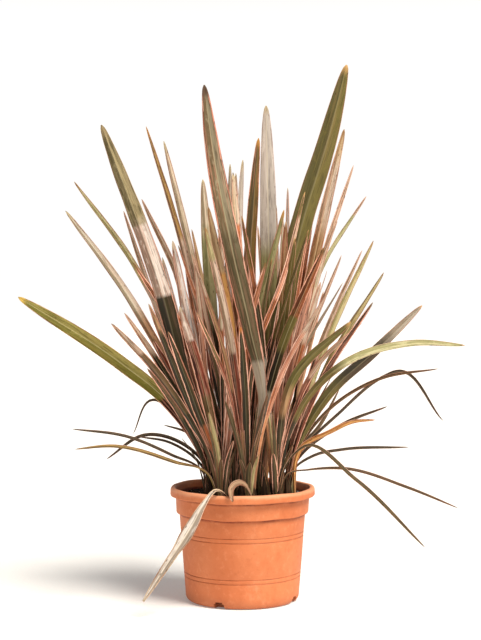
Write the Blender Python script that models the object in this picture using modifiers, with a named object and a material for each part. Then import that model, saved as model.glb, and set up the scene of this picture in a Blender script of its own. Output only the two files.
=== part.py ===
"""A New Zealand flax in a round nursery pot: ten leafy shoots, three dead leaves, the potting mix and
the pot. Metres, +Z up, the origin at the middle of the pot's underside, the front toward -Y."""

import math
import random

import bmesh
import bpy
from mathutils import Quaternion, Vector
from mathutils.bvhtree import BVHTree

# The pot
POT_HEIGHT = 0.187
RIM_RADIUS = 0.120
RIM_DEPTH = 0.014
COLLAR_RADIUS = 0.111
COLLAR_FOOT = 0.1445
SHOULDER_RADIUS = 0.1045
HEEL_RADIUS = 0.094
HEEL_ROUND = 0.009
WALL = 0.0022
FLOOR_LIFT = 0.004
HUB_RADIUS = 0.040
FOOT_WIDTH = 0.009
BAND_HEIGHTS = (0.041, 0.108)
BAND_WIDTH = 0.007
BAND_DEPTH = 0.0006
NOTCH_WIDTH = 0.018
NOTCH_HEIGHT = 0.0110
NOTCH_ANGLE = 66.0
NOTCHES = 4
ROUND_STEPS = 32

# The potting mix
SOIL_TOP = 0.172
SOIL_LUMP = 0.0022
GAP = 0.0004
HOLE_FLOOR = 0.112
SHALLOW_FLOOR = 0.150

# The shoots: each one's place in the pot, the direction its two ranks of leaves spread in, and how many
# leaves the ranks hold
CROWN_LONG = 0.0165
CROWN_SHORT = 0.0115
CROWN_TOP = 0.206
CROWN_SIDES = 10
SHOOTS = {
    "shoot_front_left": (-0.035, -0.055, 30, 12),
    "shoot_front": (0.010, -0.062, 5, 12),
    "shoot_front_right": (0.054, -0.052, -30, 12),
    "shoot_left": (-0.053, -0.010, 75, 12),
    "shoot_mid_left": (-0.013, -0.016, 15, 11),
    "shoot_mid_right": (0.030, -0.011, -10, 11),
    "shoot_right": (0.074, -0.003, 95, 12),
    "shoot_back_left": (-0.032, 0.036, -35, 12),
    "shoot_back": (0.011, 0.040, 10, 12),
    "shoot_back_right": (0.054, 0.042, 40, 12),
}

# A leaf's blade
ROOT_WIDTH = 0.0115
THICK_ROOT = 0.0010
THICK_TIP = 0.0007
FOLD_ROOT = 60.0
FOLD_OPEN = 17.0
ROOT_HEIGHT = 0.186
EXIT_HEIGHT = 0.216
BASE_SEGMENTS = 2
WIDE_BLADE = 20
CLEARANCE = 0.0006
PACKED_TOP = 0.246
TIP_BIAS = 0.2
TIP_SHARE = 0.12

# The leaves that show: the shoot, the width in millimetres, the way the blade faces in degrees round
# from the front, and the points it passes after it leaves the shoot, with its tip last
LEAVES = [
    ("shoot_mid_right", 40, 12,
     [(0.055, -0.015, 0.407), (0.097, -0.030, 0.617), (0.140, -0.038, 0.760), (0.169, -0.045, 0.877)]),
    ("shoot_front", 32, -8,
     [(0.035, -0.105, 0.339), (0.013, -0.130, 0.451), (-0.019, -0.145, 0.591), (-0.046, -0.155, 0.733),
      (-0.059, -0.160, 0.830)]),
    ("shoot_back", 31, 5, [(0.046, 0.035, 0.367), (0.045, 0.035, 0.517), (0.040, 0.050, 0.822)]),
    ("shoot_mid_right", 24, 25,
     [(0.024, -0.012, 0.414), (0.013, -0.008, 0.529), (0.018, -0.004, 0.644), (0.027, 0.000, 0.763)]),
    ("shoot_front_left", 32, -20,
     [(-0.095, -0.065, 0.377), (-0.127, -0.080, 0.502), (-0.224, -0.095, 0.775)]),
    ("shoot_mid_left", 16, 30, [(-0.009, -0.030, 0.349), (-0.009, -0.035, 0.529), (0.001, -0.030, 0.725)]),
    ("shoot_back", 15, -30, [(-0.022, 0.070, 0.407), (-0.021, 0.100, 0.728)]),
    ("shoot_mid_left", 22, -10, [(-0.040, 0.010, 0.337), (-0.052, 0.020, 0.482), (-0.066, 0.030, 0.697)]),
    ("shoot_mid_left", 15, -25, [(-0.072, -0.035, 0.517), (-0.128, -0.035, 0.755)]),
    ("shoot_back_left", 13, -35, [(-0.097, 0.030, 0.573), (-0.162, 0.050, 0.787)]),
    ("shoot_left", 14, -30, [(-0.099, 0.005, 0.516), (-0.168, 0.030, 0.664)]),
    ("shoot_left", 13, -35, [(-0.180, 0.040, 0.554), (-0.284, 0.060, 0.695)]),
    ("shoot_left", 17, -30, [(-0.184, -0.010, 0.495), (-0.292, 0.000, 0.643)]),
    ("shoot_front_left", 17, -40, [(-0.126, -0.060, 0.363), (-0.210, -0.080, 0.459)]),
    ("shoot_left", 26, 10, [(-0.128, 0.025, 0.328), (-0.206, 0.035, 0.391), (-0.378, 0.050, 0.500)]),
    ("shoot_back_left", 12, -30, [(-0.139, 0.070, 0.463), (-0.203, 0.090, 0.647)]),
    ("shoot_back_left", 12, 40, [(-0.051, 0.055, 0.430), (-0.086, 0.070, 0.615)]),
    ("shoot_front_left", 14, 35, [(-0.127, -0.035, 0.377), (-0.192, -0.040, 0.475)]),
    ("shoot_back_right", 22, 20, [(0.126, 0.045, 0.589), (0.171, 0.045, 0.782)]),
    ("shoot_back_right", 12, 35, [(0.136, 0.070, 0.564), (0.190, 0.090, 0.725)]),
    ("shoot_back_right", 14, 50, [(0.138, 0.055, 0.551), (0.214, 0.065, 0.673)]),
    ("shoot_right", 14, 40, [(0.153, 0.010, 0.458), (0.217, 0.005, 0.594)]),
    ("shoot_back_right", 12, 45, [(0.108, 0.090, 0.377), (0.141, 0.120, 0.509)]),
    ("shoot_front_right", 17, -15, [(0.084, -0.085, 0.375), (0.172, -0.105, 0.463)]),
    ("shoot_front_right", 10, -30, [(0.123, -0.045, 0.392), (0.193, -0.050, 0.459)]),
    ("shoot_right", 20, 15, [(0.144, -0.020, 0.344), (0.216, -0.020, 0.410), (0.295, -0.020, 0.487)]),
    ("shoot_front_right", 14, 10,
     [(0.113, -0.055, 0.347), (0.170, -0.072, 0.398), (0.270, -0.090, 0.428), (0.354, -0.100, 0.425)]),
    ("shoot_right", 6.5, 25, [(0.136, 0.025, 0.304), (0.230, 0.035, 0.363), (0.329, 0.035, 0.380)]),
    ("shoot_right", 6.5, 40,
     [(0.166, 0.055, 0.306), (0.240, 0.075, 0.364), (0.262, 0.080, 0.373), (0.345, 0.090, 0.287)]),
    ("shoot_back_right", 11, 60, [(0.131, 0.070, 0.278), (0.167, 0.100, 0.339)]),
    ("shoot_right", 6.5, 10, [(0.166, 0.045, 0.284), (0.246, 0.055, 0.315)]),
    ("shoot_front_right", 6.5, 0,
     [(0.088, -0.080, 0.253), (0.100, -0.090, 0.263), (0.180, -0.112, 0.213), (0.286, -0.140, 0.110)]),
    ("shoot_right", 5.5, 5, [(0.120, -0.012, 0.240), (0.164, -0.012, 0.249), (0.274, -0.020, 0.254)]),
    ("shoot_front_right", 5.5, -10,
     [(0.105, -0.048, 0.219), (0.162, -0.050, 0.223), (0.268, -0.060, 0.193), (0.348, -0.070, 0.161)]),
    ("shoot_left", 5.5, 0, [(-0.116, -0.035, 0.243), (-0.187, -0.045, 0.274), (-0.277, -0.050, 0.287)]),
    ("shoot_front_left", 6.5, -10,
     [(-0.108, -0.070, 0.235), (-0.207, -0.085, 0.263), (-0.267, -0.095, 0.259)]),
    ("shoot_left", 6.5, 20, [(-0.100, 0.025, 0.255), (-0.160, 0.035, 0.269), (-0.229, 0.040, 0.227)]),
    ("shoot_left", 5, 30, [(-0.120, 0.005, 0.259), (-0.174, 0.005, 0.269)]),
    ("shoot_back_left", 5.5, 20, [(-0.112, 0.060, 0.297), (-0.150, 0.070, 0.325), (-0.187, 0.085, 0.265)]),
    ("shoot_back_left", 5, -20, [(-0.090, 0.055, 0.269), (-0.134, 0.062, 0.283)]),
    ("shoot_front", 10, 20, [(0.023, -0.080, 0.417), (0.065, -0.070, 0.529), (0.101, -0.060, 0.671)]),
    ("shoot_front_left", 9, 0, [(-0.023, -0.075, 0.336), (-0.021, -0.085, 0.503)]),
    ("shoot_front_left", 20, -10, [(-0.062, -0.075, 0.357), (-0.100, -0.090, 0.487)]),
    ("shoot_front_left", 18, 15, [(-0.078, -0.060, 0.407), (-0.112, -0.070, 0.592)]),
    ("shoot_front_right", 18, 20, [(0.075, -0.065, 0.367), (0.112, -0.080, 0.527)]),
    ("shoot_front_right", 16, -20, [(0.062, -0.070, 0.407), (0.085, -0.085, 0.597)]),
    ("shoot_front_left", 15, -30, [(-0.098, -0.060, 0.357), (-0.150, -0.070, 0.491)]),
    ("shoot_left", 14, -20, [(-0.098, -0.020, 0.337), (-0.146, -0.030, 0.432)]),
    ("shoot_left", 13, -25, [(-0.105, -0.030, 0.312), (-0.155, -0.040, 0.385)]),
    ("shoot_front_left", 14, 20, [(-0.075, -0.068, 0.327), (-0.118, -0.085, 0.447)]),
    ("shoot_back_left", 14, -15, [(-0.100, 0.045, 0.427), (-0.135, 0.055, 0.567)]),
    ("shoot_mid_right", 17, 30, [(0.060, -0.020, 0.377), (0.088, -0.030, 0.547)]),
    ("shoot_back_right", 15, 10, [(0.080, 0.050, 0.407), (0.120, 0.060, 0.647)]),
]

# The leaves that fill the shoots out, placed by rule
FILL_LEAN = 24.0
SHOOT_LEAN = 9.0
FILL_SEGMENTS = 4
FILL_TRIES = 90
FILL_SEED = 11
DEPTH_SHIFTS = (0.0, 0.015, -0.015, 0.03, -0.03, 0.045, -0.045, 0.065, -0.065, 0.09, -0.09)

# The dead leaves: place in the soil, width in millimetres, the way the keel lies round from the front,
# and points as above
DEAD_STUB = 0.0062
TORN_LEAF = "dead_leaf_over_rim"
DEAD_LEAVES = {
    "dead_leaf_over_rim": (
        (-0.026, -0.092), 21, -70,
        [(-0.034, -0.104, 0.191), (-0.044, -0.120, 0.1950), (-0.060, -0.138, 0.178),
         (-0.080, -0.143, 0.142), (-0.118, -0.149, 0.084), (-0.155, -0.152, 0.027)]),
    "dead_leaf_curled": (
        (0.012, -0.093), 11, -100,
        [(0.010, -0.096, 0.190), (0.006, -0.101, 0.200), (-0.004, -0.106, 0.2065), (-0.013, -0.1105, 0.2040),
         (-0.018, -0.1165, 0.1965), (-0.0178, -0.1232, 0.1890), (-0.0150, -0.1270, 0.179)]),
    "dead_leaf_fallen": (
        (0.085, -0.040), 9, -5,
        [(0.096, -0.056, 0.257), (0.140, -0.075, 0.284), (0.175, -0.082, 0.301), (0.213, -0.085, 0.305)]),
}


def clear_scene():
    for old in list(bpy.data.objects):
        bpy.data.objects.remove(old, do_unlink=True)


def collection(name):
    group = bpy.data.collections.new(name)
    bpy.context.scene.collection.children.link(group)
    return group


def material(name, colour, roughness):
    made = bpy.data.materials.new(name)
    made.use_nodes = True
    shader = made.node_tree.nodes["Principled BSDF"]
    shader.inputs["Base Color"].default_value = (*colour, 1.0)
    shader.inputs["Roughness"].default_value = roughness
    shader.inputs["Metallic"].default_value = 0.0
    made.diffuse_color = (*colour, 1.0)
    return made


def mesh_object(name, points, faces, group, finish=None):
    mesh = bpy.data.meshes.new(name)
    mesh.from_pydata([tuple(point) for point in points], [], faces)
    made = bpy.data.objects.new(name, mesh)
    group.objects.link(made)
    if finish:
        mesh.materials.append(finish)
    return made


# Turned shapes
def arc(centre, radius, start, end, count):
    """Points of a round corner in the profile's plane, angles in degrees."""
    angles = [math.radians(start + (end - start) * k / count) for k in range(count + 1)]
    return [(centre[0] + radius * math.cos(a), centre[1] + radius * math.sin(a)) for a in angles]


def outer_radius(height):
    """The pot's body tapers straight from the shoulder to the heel."""
    span = COLLAR_FOOT - HEEL_ROUND
    return HEEL_RADIUS + (SHOULDER_RADIUS - HEEL_RADIUS) * (height - HEEL_ROUND) / span


def band(height):
    """A shallow sunk band round the body, read from its top down."""
    top = height + BAND_WIDTH
    edge = BAND_DEPTH * 1.5
    return [
        (outer_radius(top + edge), top + edge),
        (outer_radius(top) - BAND_DEPTH, top),
        (outer_radius(height) - BAND_DEPTH, height),
        (outer_radius(height - edge), height - edge),
    ]


def inner_profile():
    """The inside of the pot from the middle of its floor up to the rim."""
    heel = HEEL_RADIUS - WALL - FOOT_WIDTH * 0.25
    foot_top = WALL + 0.0008
    return [
        (0.0, foot_top),
        (HUB_RADIUS, foot_top),
        (HUB_RADIUS + FLOOR_LIFT, FLOOR_LIFT + WALL),
        (heel - 0.003, FLOOR_LIFT + WALL),
        (outer_radius(0.014) - WALL - 0.0006, 0.014),
        (outer_radius(COLLAR_FOOT - 0.004) - WALL, COLLAR_FOOT - 0.004),
        (COLLAR_RADIUS - 0.002 - WALL, COLLAR_FOOT + WALL),
        (COLLAR_RADIUS - WALL, POT_HEIGHT - RIM_DEPTH),
    ]


def rim_profile():
    """The rolled rim, from its inner edge over the crest and down its hanging lip."""
    crest = RIM_RADIUS - 0.0052
    lip = RIM_RADIUS - WALL
    low = POT_HEIGHT - RIM_DEPTH
    over = arc((crest, POT_HEIGHT - 0.005), 0.005, 100, 0, 3)
    return over + [
        (RIM_RADIUS, low + 0.0012),
        (lip + 0.0006, low),
        (lip - 0.0006, POT_HEIGHT - 0.0052),
        (COLLAR_RADIUS + 0.0022, POT_HEIGHT - 0.0060),
        (COLLAR_RADIUS, low - 0.001),
    ]


def outer_profile():
    """The outside of the pot from under the rim down to the middle of the underside."""
    foot_inner = HEEL_RADIUS - HEEL_ROUND - FOOT_WIDTH
    centre = (HEEL_RADIUS - HEEL_ROUND, HEEL_ROUND)
    return [
        (COLLAR_RADIUS - 0.0016, COLLAR_FOOT + 0.0008),
        (COLLAR_RADIUS - 0.0026, COLLAR_FOOT),
        (SHOULDER_RADIUS, COLLAR_FOOT - 0.0005),
        *band(BAND_HEIGHTS[1]),
        *band(BAND_HEIGHTS[0]),
        *arc(centre, HEEL_ROUND, 0, -90, 3),
        (foot_inner, 0.0),
        (foot_inner - FLOOR_LIFT, FLOOR_LIFT),
        (HUB_RADIUS + FLOOR_LIFT * 0.6, FLOOR_LIFT),
        (HUB_RADIUS, 0.0),
        (0.0, 0.0),
    ]


def turned(name, profile, group, finish):
    """A closed solid turned from a profile that runs out from the axis and back to it."""
    points = [(radius, 0.0, height) for radius, height in profile]
    mesh = bpy.data.meshes.new(name)
    mesh.from_pydata(points, [(k, k + 1) for k in range(len(points) - 1)], [])
    made = bpy.data.objects.new(name, mesh)
    group.objects.link(made)
    screw = made.modifiers.new("turn", "SCREW")
    screw.steps = ROUND_STEPS
    screw.render_steps = ROUND_STEPS
    screw.use_merge_vertices = True
    screw.merge_threshold = 0.00001
    mesh.materials.append(finish)
    return made


def cut(target, cutter, solver="EXACT"):
    cutter.hide_render = True
    cutter.display_type = "WIRE"
    modifier = target.modifiers.new(cutter.name, "BOOLEAN")
    modifier.operation = "DIFFERENCE"
    modifier.solver = solver
    modifier.object = cutter


def oval_points(centre, long, short, angle, height, sides=CROWN_SIDES):
    turn = math.radians(angle)
    ring = []
    for k in range(sides):
        phase = 2 * math.pi * k / sides
        x = long * math.cos(phase)
        y = short * math.sin(phase)
        ring.append(Vector((
            centre[0] + x * math.cos(turn) - y * math.sin(turn),
            centre[1] + x * math.sin(turn) + y * math.cos(turn),
            height)))
    return ring


def oval_body(rings):
    """The points and faces of a closed body lofted through rings from the lowest up."""
    sides = len(rings[0])
    points = [point for ring in rings for point in ring]
    faces = [list(range(sides))[::-1], [len(points) - sides + k for k in range(sides)]]
    for level in range(len(rings) - 1):
        low = level * sides
        for k in range(sides):
            after = (k + 1) % sides
            faces.append([low + k, low + after, low + sides + after, low + sides + k])
    return points, faces


def oval_solid(name, rings, group, finish=None):
    points, faces = oval_body(rings)
    return mesh_object(name, points, faces, group, finish)


def make_pot(group, cutters):
    finish = material("pot_plastic", (0.72, 0.27, 0.13), 0.55)
    pot = turned("pot", inner_profile() + rim_profile() + outer_profile(), group, finish)
    for k in range(NOTCHES):
        angle = math.radians(NOTCH_ANGLE - 90 + 360 * k / NOTCHES)
        bpy.ops.mesh.primitive_cube_add(size=1.0)
        notch = bpy.context.object
        notch.name = f"drain_notch_{k + 1}"
        notch.scale = (0.030, NOTCH_WIDTH, 2 * NOTCH_HEIGHT)
        notch.rotation_euler = (0.0, 0.0, angle)
        reach = HEEL_RADIUS - 0.002
        notch.location = (reach * math.cos(angle), reach * math.sin(angle), 0.0)
        move_to(notch, cutters)
        cut(pot, notch)
    return pot


def move_to(made, group):
    for old in list(made.users_collection):
        old.objects.unlink(made)
    group.objects.link(made)


def soil_profile():
    """The mix fills the pot's inside, and its top falls a little toward the wall."""
    side = [(r - GAP if r > 0 else 0.0, z + GAP) for r, z in inner_profile()]
    side = [point for point in side if point[1] < SOIL_TOP - 0.004]
    edge = COLLAR_RADIUS - WALL - 0.0012
    top = [(edge * part, SOIL_TOP + 0.002 * (1 - part ** 2)) for part in (1.0, 0.85, 0.6, 0.3, 0.0)]
    return (side + top)[::-1]


def soil_height(x, y):
    """Lumps on the surface of the mix."""
    wave = math.sin(x * 170 + 1.3) * math.cos(y * 150 - 0.4) + 0.6 * math.sin(x * 61 - y * 97)
    return SOIL_LUMP * wave * 0.5


def make_soil(group, cutters):
    finish = material("potting_mix", (0.035, 0.024, 0.017), 0.95)
    soil = turned("soil", soil_profile(), group, finish)
    apply_modifiers(soil)
    limit = COLLAR_RADIUS - WALL - 0.004
    for vertex in soil.data.vertices:
        x, y, z = vertex.co
        if z > SOIL_TOP - 0.001 and math.hypot(x, y) < limit:
            vertex.co.z += soil_height(x, y)
    for name in SHOOTS:
        hole = crown_rings(name, GAP)
        cut(soil, hole_cutter(name, hole, cutters), "MANIFOLD")
    for name in DEAD_LEAVES:
        hole = stub_rings(name, GAP)
        cut(soil, hole_cutter(name, hole, cutters), "MANIFOLD")
    return soil


def hole_cutter(name, rings, cutters):
    """A straight hole of the lower rings' outline, open at the top of the mix."""
    low = rings[0]
    high = [Vector((point.x, point.y, SOIL_TOP + 0.02)) for point in low]
    return oval_solid(name + "_hole", [low, high], cutters)


def apply_modifiers(made):
    evaluated = made.evaluated_get(bpy.context.evaluated_depsgraph_get())
    mesh = bpy.data.meshes.new_from_object(evaluated)
    made.modifiers.clear()
    made.data = mesh


# Leaves
def smooth_path(points, count):
    """Steps along a smooth curve through the points."""
    line = [points[0]]
    for k in range(len(points) - 1):
        before = points[max(k - 1, 0)]
        start, end = points[k], points[k + 1]
        after = points[min(k + 2, len(points) - 1)]
        span = (end - start).length
        leave = tangent(before, start, end) * span
        arrive = tangent(start, end, after) * span
        for step in range(1, 13):
            t = step / 12
            line.append(hermite(start, leave, end, arrive, t))
    return even_steps(line, count)


def tangent(before, here, after):
    """The direction at a point, leaning to its shorter side."""
    if (here - before).length < 1e-9:
        return (after - here).normalized()
    if (after - here).length < 1e-9:
        return (here - before).normalized()
    back, on = here - before, after - here
    return (back.normalized() * on.length + on.normalized() * back.length).normalized()


def hermite(start, leave, end, arrive, t):
    a = 2 * t ** 3 - 3 * t ** 2 + 1
    b = t ** 3 - 2 * t ** 2 + t
    c = -2 * t ** 3 + 3 * t ** 2
    d = t ** 3 - t ** 2
    return start * a + leave * b + end * c + arrive * d


def even_steps(line, count):
    """Points along the line, a little closer together toward its end."""
    lengths = [0.0]
    for k in range(1, len(line)):
        lengths.append(lengths[-1] + (line[k] - line[k - 1]).length)
    steps = []
    k = 1
    for step in range(count + 1):
        share = step / count
        reach = lengths[-1] * (share + TIP_BIAS * share * (1 - share))
        while k < len(line) - 1 and lengths[k] < reach:
            k += 1
        part = (reach - lengths[k - 1]) / (lengths[k] - lengths[k - 1])
        steps.append(line[k - 1].lerp(line[k], min(part, 1.0)))
    return steps


def blade_width(t, width):
    """A blade's width along its length, as a share of its greatest: narrow blades are widest low down."""
    sheath = max(0.5, min(0.95, ROOT_WIDTH / width))
    root = sheath + (1 - sheath) * min(1.0, t / 0.45)
    taper = 1.62 * max(1 - t, 0.0) ** 0.425
    return root * taper / (1 + taper ** 10) ** 0.1


def torn_width(t):
    """The torn blade's share of its width: widest before its middle, then drawn out to its tip."""
    grown = 0.36 + 0.64 * ease(0.20, 0.46, t)
    torn = 1 - 0.35 * ease(0.47, 0.62, t)
    return grown * torn * (1 - 0.75 * max(0.0, (t - 0.62) / 0.38) ** 1.8)


def ease(low, high, value):
    part = min(max((value - low) / (high - low), 0.0), 1.0)
    return part * part * (3 - 2 * part)


def headings_along(line):
    last = len(line) - 1
    return [(line[min(k + 1, last)] - line[max(k - 1, 0)]).normalized() for k in range(last + 1)]


def square_to(vector, heading):
    return (vector - heading * vector.dot(heading)).normalized()


def keels_along(headings, outward, facing):
    """The keel's side of the blade: outward at the root, carried along, and twisted to its facing."""
    keels = [square_to(outward, headings[0])]
    for before, heading in zip(headings, headings[1:]):
        keels.append(square_to(before.rotation_difference(heading) @ keels[-1], heading))
    if facing is None:
        return keels
    last = len(headings) - 1
    check = round(0.42 * last)
    wish = square_to(facing, headings[check])
    twist = keels[check].angle(wish)
    if headings[check].dot(keels[check].cross(wish)) < 0:
        twist = -twist
    return [Quaternion(heading, twist * ease(0.04, 0.42, k / last)) @ keel
            for k, (heading, keel) in enumerate(zip(headings, keels))]


def blade_rings(leaf, segments, grow):
    """The blade's cross-sections: a folded V that opens as it rises, six points each."""
    line = smooth_path(leaf["path"], segments)
    rings = []
    headings = headings_along(line)
    keels = keels_along(headings, leaf["outward"], leaf["facing"])
    for k, point in enumerate(line):
        t = k / segments
        keel = keels[k]
        across = headings[k].cross(keel)
        fold = math.radians(FOLD_ROOT + (FOLD_OPEN - FOLD_ROOT) * ease(0.02, 0.34, t))
        share = torn_width(t) if leaf.get("torn") else blade_width(t, leaf["width"])
        half = leaf["width"] / 2 * max(share, TIP_SHARE) + grow
        thick = THICK_ROOT + (THICK_TIP - THICK_ROOT) * t + 2 * grow
        back = point + keel * grow
        side = across * math.cos(fold) * half
        rise = -keel * math.sin(fold) * half
        inset = across * math.sin(fold) * thick
        lift = -keel * math.cos(fold) * thick
        middle = back - keel * thick / math.cos(fold)
        left, right = back - side + rise, back + side + rise
        rings.append([left, back, right, right - inset + lift, middle, left + inset + lift])
    return rings


def blade_faces(levels):
    """Triangles between the sections, split alike on both faces of the blade."""
    faces = []
    for level in range(levels - 1):
        a, b = level * 6, level * 6 + 6
        for j in range(6):
            after = (j + 1) % 6
            if j in (3, 4):
                faces += [(a + j, a + after, b + j), (a + after, b + after, b + j)]
            else:
                faces += [(a + j, a + after, b + after), (a + j, b + after, b + j)]
    end = (levels - 1) * 6
    faces += [(0, 5, 4), (0, 4, 1), (1, 4, 3), (1, 3, 2)]
    faces += [(end, end + 4, end + 5), (end, end + 1, end + 4)]
    faces += [(end + 1, end + 3, end + 4), (end + 1, end + 2, end + 3)]
    return faces


def blade(leaf, grow=0.0):
    rings = blade_rings(leaf, leaf["segments"], grow)
    return [point for ring in rings for point in ring], blade_faces(len(rings))


def clear_of_pot(points, place):
    """True where the blade stays off the mix, the rim, the wall and the ground."""
    for x, y, z in points:
        radius = math.hypot(x, y)
        near_root = math.hypot(x - place[0], y - place[1]) < CROWN_SHORT
        if radius > RIM_RADIUS + 0.002:
            if z < 0.006:
                return False
        elif radius > COLLAR_RADIUS - 0.004:
            if z < POT_HEIGHT + 0.0015:
                return False
        elif z < SOIL_TOP + 0.005 and not near_root:
            return False
    return True


def direction(angle):
    """A level direction, in degrees round from +X."""
    return Vector((math.cos(math.radians(angle)), math.sin(math.radians(angle)), 0.0))


def lean_of(shoot, target):
    """How far a leaf leans along its shoot's spread, in degrees from upright."""
    x, y, angle, _ = SHOOTS[shoot]
    aside = Vector((target[0] - x, target[1] - y, 0.0)).dot(direction(angle))
    return math.degrees(math.atan2(aside, max(target[2] - EXIT_HEIGHT, 0.01)))


def slots_for(leans, count):
    """Places in the two ranks, in the order of the leaves' leans, so that they open like a fan."""
    count = max(count, len(leans))
    order = sorted(range(len(leans)), key=lambda k: leans[k])
    slots = {}
    for rank, k in enumerate(order):
        share = max(-1.0, min(1.0, leans[k] / FILL_LEAN))
        wish = round((share + 1) / 2 * (count - 1))
        lowest = slots[order[rank - 1]] + 1 if rank else 0
        highest = count - (len(order) - rank)
        slots[k] = max(lowest, min(highest, wish))
    return [slots[k] for k in range(len(leans))], count


def shoot_leaf(shoot, slot, count, width, facing, points):
    """A leaf that leaves its shoot at a slot of the two ranks."""
    x, y, angle, _ = SHOOTS[shoot]
    spread = direction(angle)
    share = 2 * (slot + 0.5) / count - 1
    outward = spread if share >= 0 else -spread
    root = Vector((x, y, ROOT_HEIGHT)) + spread * share * (CROWN_LONG - 0.005)
    aim = (Vector(points[0]) - root).normalized()
    leave = root + (Vector((0.0, 0.0, 1.0)) + aim * 0.8).normalized() * (EXIT_HEIGHT - ROOT_HEIGHT)
    look = direction(facing - 90)
    if look.dot(outward) < 0:
        look = -look
    path = [root, leave] + [Vector(point) for point in points]
    return {"path": path, "width": width / 1000, "outward": outward, "facing": look, "shoot": shoot,
            "segments": BASE_SEGMENTS + len(points) + (1 if width > WIDE_BLADE else 0)}


def is_clear(leaf, placed):
    """The grown blade as a search tree, or nothing where it meets the pot or another shoot."""
    points, faces = blade(leaf, CLEARANCE / 2)
    x, y, _, _ = SHOOTS[leaf["shoot"]]
    if not clear_of_pot(points, (x, y)):
        return None
    tree = BVHTree.FromPolygons(points, faces)
    for shoot, other in placed:
        if shoot != leaf["shoot"] and tree.overlap(other):
            return None
    return tree


def free_blade(leaf):
    """The part of a blade above the packed bases, which crosses no other leaf of its shoot."""
    points, faces = blade(leaf, 0.0)
    raised = [face for face in faces if min(points[k].z for k in face) > PACKED_TOP]
    return BVHTree.FromPolygons(points, raised) if raised else None


def shifts():
    for shift in DEPTH_SHIFTS:
        for bend in (0.5, 0.0, 0.9):
            yield shift, bend


def shifted(points, shift, bend):
    """Points moved in depth, least at the first of them and not at all down at the rim."""
    moved = []
    for k, (x, y, z) in enumerate(points):
        part = bend + (1 - bend) * (k + 1) / len(points)
        moved.append((x, y + shift * part * min(1.0, z / 0.3), z))
    return moved


def place_shown_leaves(placed, own):
    """Each leaf keeps its outline from the front, and shifts in depth to pass the others."""
    leaves = []
    for shoot in SHOOTS:
        shown = [row for row in LEAVES if row[0] == shoot]
        slots, count = slots_for([lean_of(shoot, row[3][0]) for row in shown], SHOOTS[shoot][3])
        for slot, (_, width, facing, points) in zip(slots, shown):
            leaves.append([shoot, slot, count, width, facing, points])
    leaves.sort(key=lambda row: -row[3])
    made = []
    for shoot, slot, count, width, facing, points in leaves:
        spare = None
        for shift, bend in shifts():
            leaf = shoot_leaf(shoot, slot, count, width, facing, shifted(points, shift, bend))
            tree = is_clear(leaf, placed)
            if not tree:
                continue
            free = free_blade(leaf)
            spare = spare or (leaf, tree, free)
            if not any(free and free.overlap(other) for other in own[shoot]):
                spare = (leaf, tree, free)
                break
        if not spare:
            continue
        add_leaf(spare, slot, placed, own, made)
    return made


def add_leaf(found, slot, placed, own, made):
    leaf, tree, free = found
    leaf["slot"] = slot
    placed.append((leaf["shoot"], tree))
    if free:
        own[leaf["shoot"]].append(free)
    made.append(leaf)


def fill_leaf(shoot, slot, count, lean, rng):
    """A leaf placed by rule: its shoot leans out from the clump, and the leaf along its rank."""
    x, y, angle, _ = SHOOTS[shoot]
    away = Vector((x - 0.008, max(y * 1.8, -0.055), 0.0)) / 0.06
    level = direction(angle) * math.tan(math.radians(lean + rng.uniform(-2.5, 2.5)))
    level += direction(angle + 90) * math.tan(math.radians(rng.uniform(-13, 13)))
    level += away * math.tan(math.radians(SHOOT_LEAN + rng.uniform(-5, 7)))
    length = rng.uniform(0.30, 0.52) / (1 + 0.6 * level.length)
    start = Vector((x, y, EXIT_HEIGHT))
    upright = Vector((0.0, 0.0, 1.0))
    middle = start + (level * 0.78 + upright).normalized() * length * 0.5
    tip = start + (level + upright).normalized() * length
    facing = math.degrees(math.atan2(level.y, level.x)) + 90 + rng.uniform(-75, 75)
    return shoot_leaf(shoot, slot, count, rng.uniform(9, 18), facing, [middle, tip])


def place_fill_leaves(placed, own, leaves):
    for shoot in SHOOTS:
        shown = [leaf for leaf in leaves if leaf["shoot"] == shoot]
        taken = {leaf["slot"]: lean_of(shoot, leaf["path"][2]) for leaf in shown}
        count = max(SHOOTS[shoot][3], len(shown))
        for slot in range(count):
            if slot in taken:
                continue
            rng = random.Random(f"{FILL_SEED} {shoot} {slot}")
            lean = fan_lean(slot, count, taken)
            for _ in range(FILL_TRIES):
                leaf = fill_leaf(shoot, slot, count, lean, rng)
                tree = is_clear(leaf, placed)
                free = free_blade(leaf)
                if tree and not any(free.overlap(other) for other in own[shoot]):
                    leaf["segments"] = FILL_SEGMENTS
                    add_leaf((leaf, tree, free), slot, placed, own, leaves)
                    break


def fan_lean(slot, count, taken):
    """The lean of a free slot, between those of the nearest leaves on its two sides."""
    ends = dict(taken)
    ends.setdefault(-1, min([-FILL_LEAN, *taken.values()]))
    ends.setdefault(count, max([FILL_LEAN, *taken.values()]))
    low = max(k for k in ends if k < slot)
    high = min(k for k in ends if k > slot)
    return ends[low] + (ends[high] - ends[low]) * (slot - low) / (high - low)


def stem_rings(place, long, short, angle, floor, top, grow):
    """A stem in its hole: straight up to the mix's surface, then drawn in to its top."""
    low = oval_points(place, long + grow, short + grow, angle, floor + GAP - grow)
    mid = oval_points(place, long + grow, short + grow, angle, SOIL_TOP + 0.006)
    high = oval_points(place, long * 0.66 + grow, short * 0.5 + grow, angle, top + grow)
    return [low, mid, high]


def crown_rings(name, grow=0.0):
    x, y, angle, _ = SHOOTS[name]
    return stem_rings((x, y), CROWN_LONG, CROWN_SHORT, angle, HOLE_FLOOR, CROWN_TOP, grow)


def stub_rings(name, grow=0.0):
    place = DEAD_LEAVES[name][0]
    return stem_rings(place, DEAD_STUB, DEAD_STUB, 0, SHALLOW_FLOOR, SOIL_TOP + 0.011, grow)


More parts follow.
